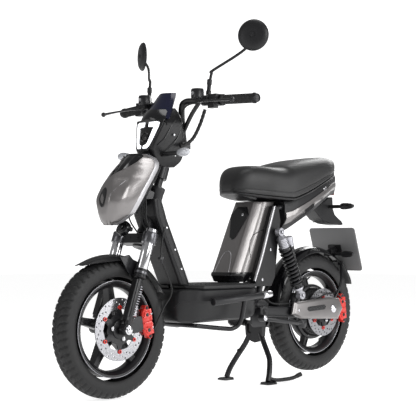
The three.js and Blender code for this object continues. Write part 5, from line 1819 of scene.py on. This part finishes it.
cover_rings = [
    [at(x, y, z) for x, z in inset(cover, s)]
    for y, s in ((100.6, 0.0), (108, 0.0), (112.6, 0.1), (114.2, 0.22))
]
piece(
    "arm_cover", [loft(cover_rings)], GREY, "frame", ["swing_arm_cover"], angle=26, bevel=1.6
)
piece(
    "arm_cover_badge",
    [
        loft(
            [
                [
                    at(x, y, z)
                    for x, z in [
                        (-330, 262), (-336, 271), (-432, 276), (-440, 268), (-434, 258), (-340, 253)
                    ]
                ]
                for y in (113.6, 115.6)
            ]
        )
    ],
    SMOKE, "frame", bevel=0.8
)
cover_bolts = [turned([(0, 0), (15, 0), (15, 3), (13, 4.4), (0, 4.4)], at(-486, 113.6, 259), LEFTWARD, 36)]
cover_bolts += bolt(at(-486, 117, 259), LEFTWARD, 8, 6)
cover_bolts.append(dome(at(-283, 113.4, 260), LEFTWARD, 6, 3.6))
piece("arm_cover_bolts", cover_bolts, CHROME, "frame")

# ------------------------------------------------------------------ rear shocks
for side, sign in SIDES:
    top, foot = at(-170, sign * SHOCK_Y, 549), at(-288, sign * SHOCK_Y, 316)
    down = (foot - top).normalized()
    length = (foot - top).length / MM
    metal, black, body_parts = [], [], []
    for centre in (top, foot):
        metal.append(
            turned(
                [(0, -11), (14, -11), (15, -10), (15, 10), (14, 11), (8, 11), (8, 13), (0, 13)], centre,
                LEFTWARD * sign, 32
            )
        )
        metal += bolt(centre + LEFTWARD * (sign * 12 * MM), LEFTWARD * sign, 6.5, 5)
    fins = [(10, 12), (18, 24)]
    for k in range(6):
        h = 26 + 6 * k
        fins += [(20.5, h), (20.5, h + 3.4), (17.6, h + 3.8), (17.6, h + 5.6)]
    metal.append(turned([*fins, (20.5, 63), (14, 65)], top, down, 40))
    metal.append(
        turned(
            [
                (0, length - 34), (20, length - 34), (20, length - 28), (13, length - 20), (11, length - 10),
                (0, length - 10)
            ],
            top, down, 32
        )
    )
    piece("shock_ends_" + side, metal, ALLOY, "frame", angle=36)
    black.append(helix(top + down * (69 * MM), top + down * (208 * MM), 21.0, 4.6, 9.5, 12, 26))
    piece("shock_spring_" + side, black, METAL, "frame", ["rear_shock_" + side])
    body_parts.append(turned([(0, 60), (12.5, 60), (12.5, length - 30), (0, length - 30)], top, down, 32))
    body_parts.append(turned([(0, 63), (25, 63), (25, 67), (13, 68)], top, down, 36))
    body_parts.append(turned([(13, 208), (25, 208), (25, 213), (21, 216), (13, 217)], top, down, 36))
    piece("shock_body_" + side, body_parts, GLOSS, "frame", angle=36)
    can_top, can_foot = top + Vector((-50, 0, -16)) * MM, top + Vector((-76, 0, -116)) * MM
    can = [
        turned(
            [
                (0, 36), (13, 36), (13.6, 38), (13.6, 66), (12.4, 67), (12.4, 70), (13.6, 71), (13.6, 98),
                (12, 102), (0, 102)
            ],
            can_top, can_foot - can_top, 36
        )
    ]
    piece("shock_canister_" + side, can, METAL, "frame")
    caps = [
        turned(
            [(0, 0), (12, 0), (13.8, 2), (13.8, 30), (13, 31), (13.8, 32), (13.8, 37), (0, 37)], can_top,
            can_foot - can_top, 36
        )
    ]
    caps.append(bar(can_top + down * (4 * MM), top + down * (38 * MM), 8, 20))
    piece("shock_caps_" + side, caps, ALLOY, "frame")

rear_banjo = caliper(
    "rear_caliper_body", "rear_caliper", REAR_AXLE, math.radians(187), 101, REAR_DISC_Y, "frame"
)
line = [
    rear_banjo, at(-566, 84, 300), at(-480, 92, 316), at(-380, 94, 290), at(-250, 90, 286),
    at(-160, 90, 290), at(-112, 92, 320)
]
piece("rear_brake_line", [pipe(line, 2.8, 12, 10)], RUBBER, "frame")

# ------------------------------------------------------------------ rear mudguard
rear_guard = [guard(REAR_AXLE, TYRE_R + 24, 47, 92, -41, (1.0, 1.0), 22, steps=88)]
piece(
    "rear_guard", rear_guard, GLOSS, "frame", ["rear_mudguard"], thick=2.6, angle=30,
    subdivide=1
)
flap_rows = []
for i in range(9):
    t = i / 8
    start, end = (-641, 436), (-711, 346)
    row = []
    for j in range(17):
        s = 2 * j / 16 - 1
        drop = 7 * abs(s) ** 4
        half = 42 - 3 * t - (6 * max(0.0, t - 0.8) / 0.2)
        row.append(
            at(
                start[0] + (end[0] - start[0]) * t + drop, half * s,
                start[1] + (end[1] - start[1]) * t + 5 * math.sin(math.pi * t)
            )
        )
    flap_rows.append(row)
piece("guard_flap", [grid(flap_rows)], PLASTIC, "frame", thick=3)
stays = []
for _, sign in SIDES:
    stays.append(
        pipe(
            [at(-628, sign * 43, 428), at(-556, sign * 93, 346), at(-500, sign * 88, 270)], 5, 14, 8,
            squash=0.6
        )
    )
    stays.append(box((3, 22, 16), at(-624, sign * 40, 430)))
piece("guard_stays", stays, METAL, "frame")

# ------------------------------------------------------------------ stands
PIVOT = (-168, 212)
stand = []
for _, sign in SIDES:
    stand.append(bar(at(PIVOT[0], sign * 44, PIVOT[1]), at(PIVOT[0], sign * 60, PIVOT[1]), 12, 28))
    stand.append(
        slab(
            [(-176, 222), (-160, 222), (-156, 206), (-160, 166), (-176, 166), (-180, 206)], sign * 32,
            sign * 42
        )
    )
    stand.append(
        pipe(
            [
                at(-168, sign * 26, 178), at(-166, sign * 44, 142), at(-161, sign * 64, 112),
                at(-154, sign * 82, 84), at(-135, sign * 98, 42), at(-122, sign * 103, 10)
            ],
            10, 22, 8
        )
    )
    foot = [(84, 0), (88, 9), (118, 10), (128, 6), (129, 0.2)]
    rings = []
    for x in (-146, -142, -102, -96):
        tight = 3 if x in (-146, -96) else 0
        rings.append([at(x, sign * (y + (tight if y < 100 else -tight)), z) for y, z in foot])
    stand.append(loft(rings))
shield = [
    (-30, 208), (-34, 200), (-37, 178), (-32, 158), (-20, 146), (0, 141), (20, 146), (32, 158), (37, 178),
    (34, 200), (30, 208), (0, 211)
]
stand.append(loft([[at(x, y, z) for y, z in shield] for x in (-173, -163)]))
tang = [at(-127, 103, 20), at(-150, 116, 14), at(-176, 126, 14), at(-214, 140, 18), at(-248, 150, 30)]
stand.append(pipe(tang, 7, 18, 10))
piece(
    "centre_stand_frame", stand, METAL, "centre_stand", ["centre_stand"], bevel=1.2, angle=34
)
buffer_parts = [
    turned(
        [(0, 0), (10, 0), (11, 2), (11, 9), (9, 12), (0, 12)], at(-150, -70, 104), Vector((-0.3, 1, 0.3)), 28
    )
]
buffer_parts.append(bar(tang[-1] + Vector((16, -5, -6)) * MM, tang[-1] + Vector((-2, 1, 1)) * MM, 8.2, 20))
piece("centre_stand_rubber", buffer_parts, RUBBER, "centre_stand")

side = [bar(at(-71, 124, 241), at(-290, 124, 212), 9, 26)]
side.append(
    turned([(0, -12), (12, -12), (13, -11), (13, 11), (12, 12), (0, 12)], at(-71, 124, 241), LEFTWARD, 32)
)
side.append(
    turned([(0, -8), (14, -8), (18, -5), (18, 5), (14, 8), (0, 8)], at(-290, 125, 212), LEFTWARD, 32)
)
side.append(pipe([at(-250, 128, 220), at(-262, 142, 224), at(-280, 150, 226)], 4.2, 12, 8))
piece("side_stand_leg", side, METAL, "side_stand", ["side_stand"])
side_bolts = bolt(at(-71, 136, 241), LEFTWARD, 7, 5)
piece("side_stand_bolt", side_bolts, CHROME, "side_stand")

# ------------------------------------------------------------------ floor
ground = bpy.data.meshes.new("ground")
ground.from_pydata(
    [(-14, -14, -0.0012), (14, -14, -0.0012), (14, 14, -0.0012), (-14, 14, -0.0012)], [], [[0, 1, 2, 3]]
)
ground.materials.append(GROUND)
ground_object = bpy.data.objects.new("ground", ground)
scene.collection.objects.link(ground_object)
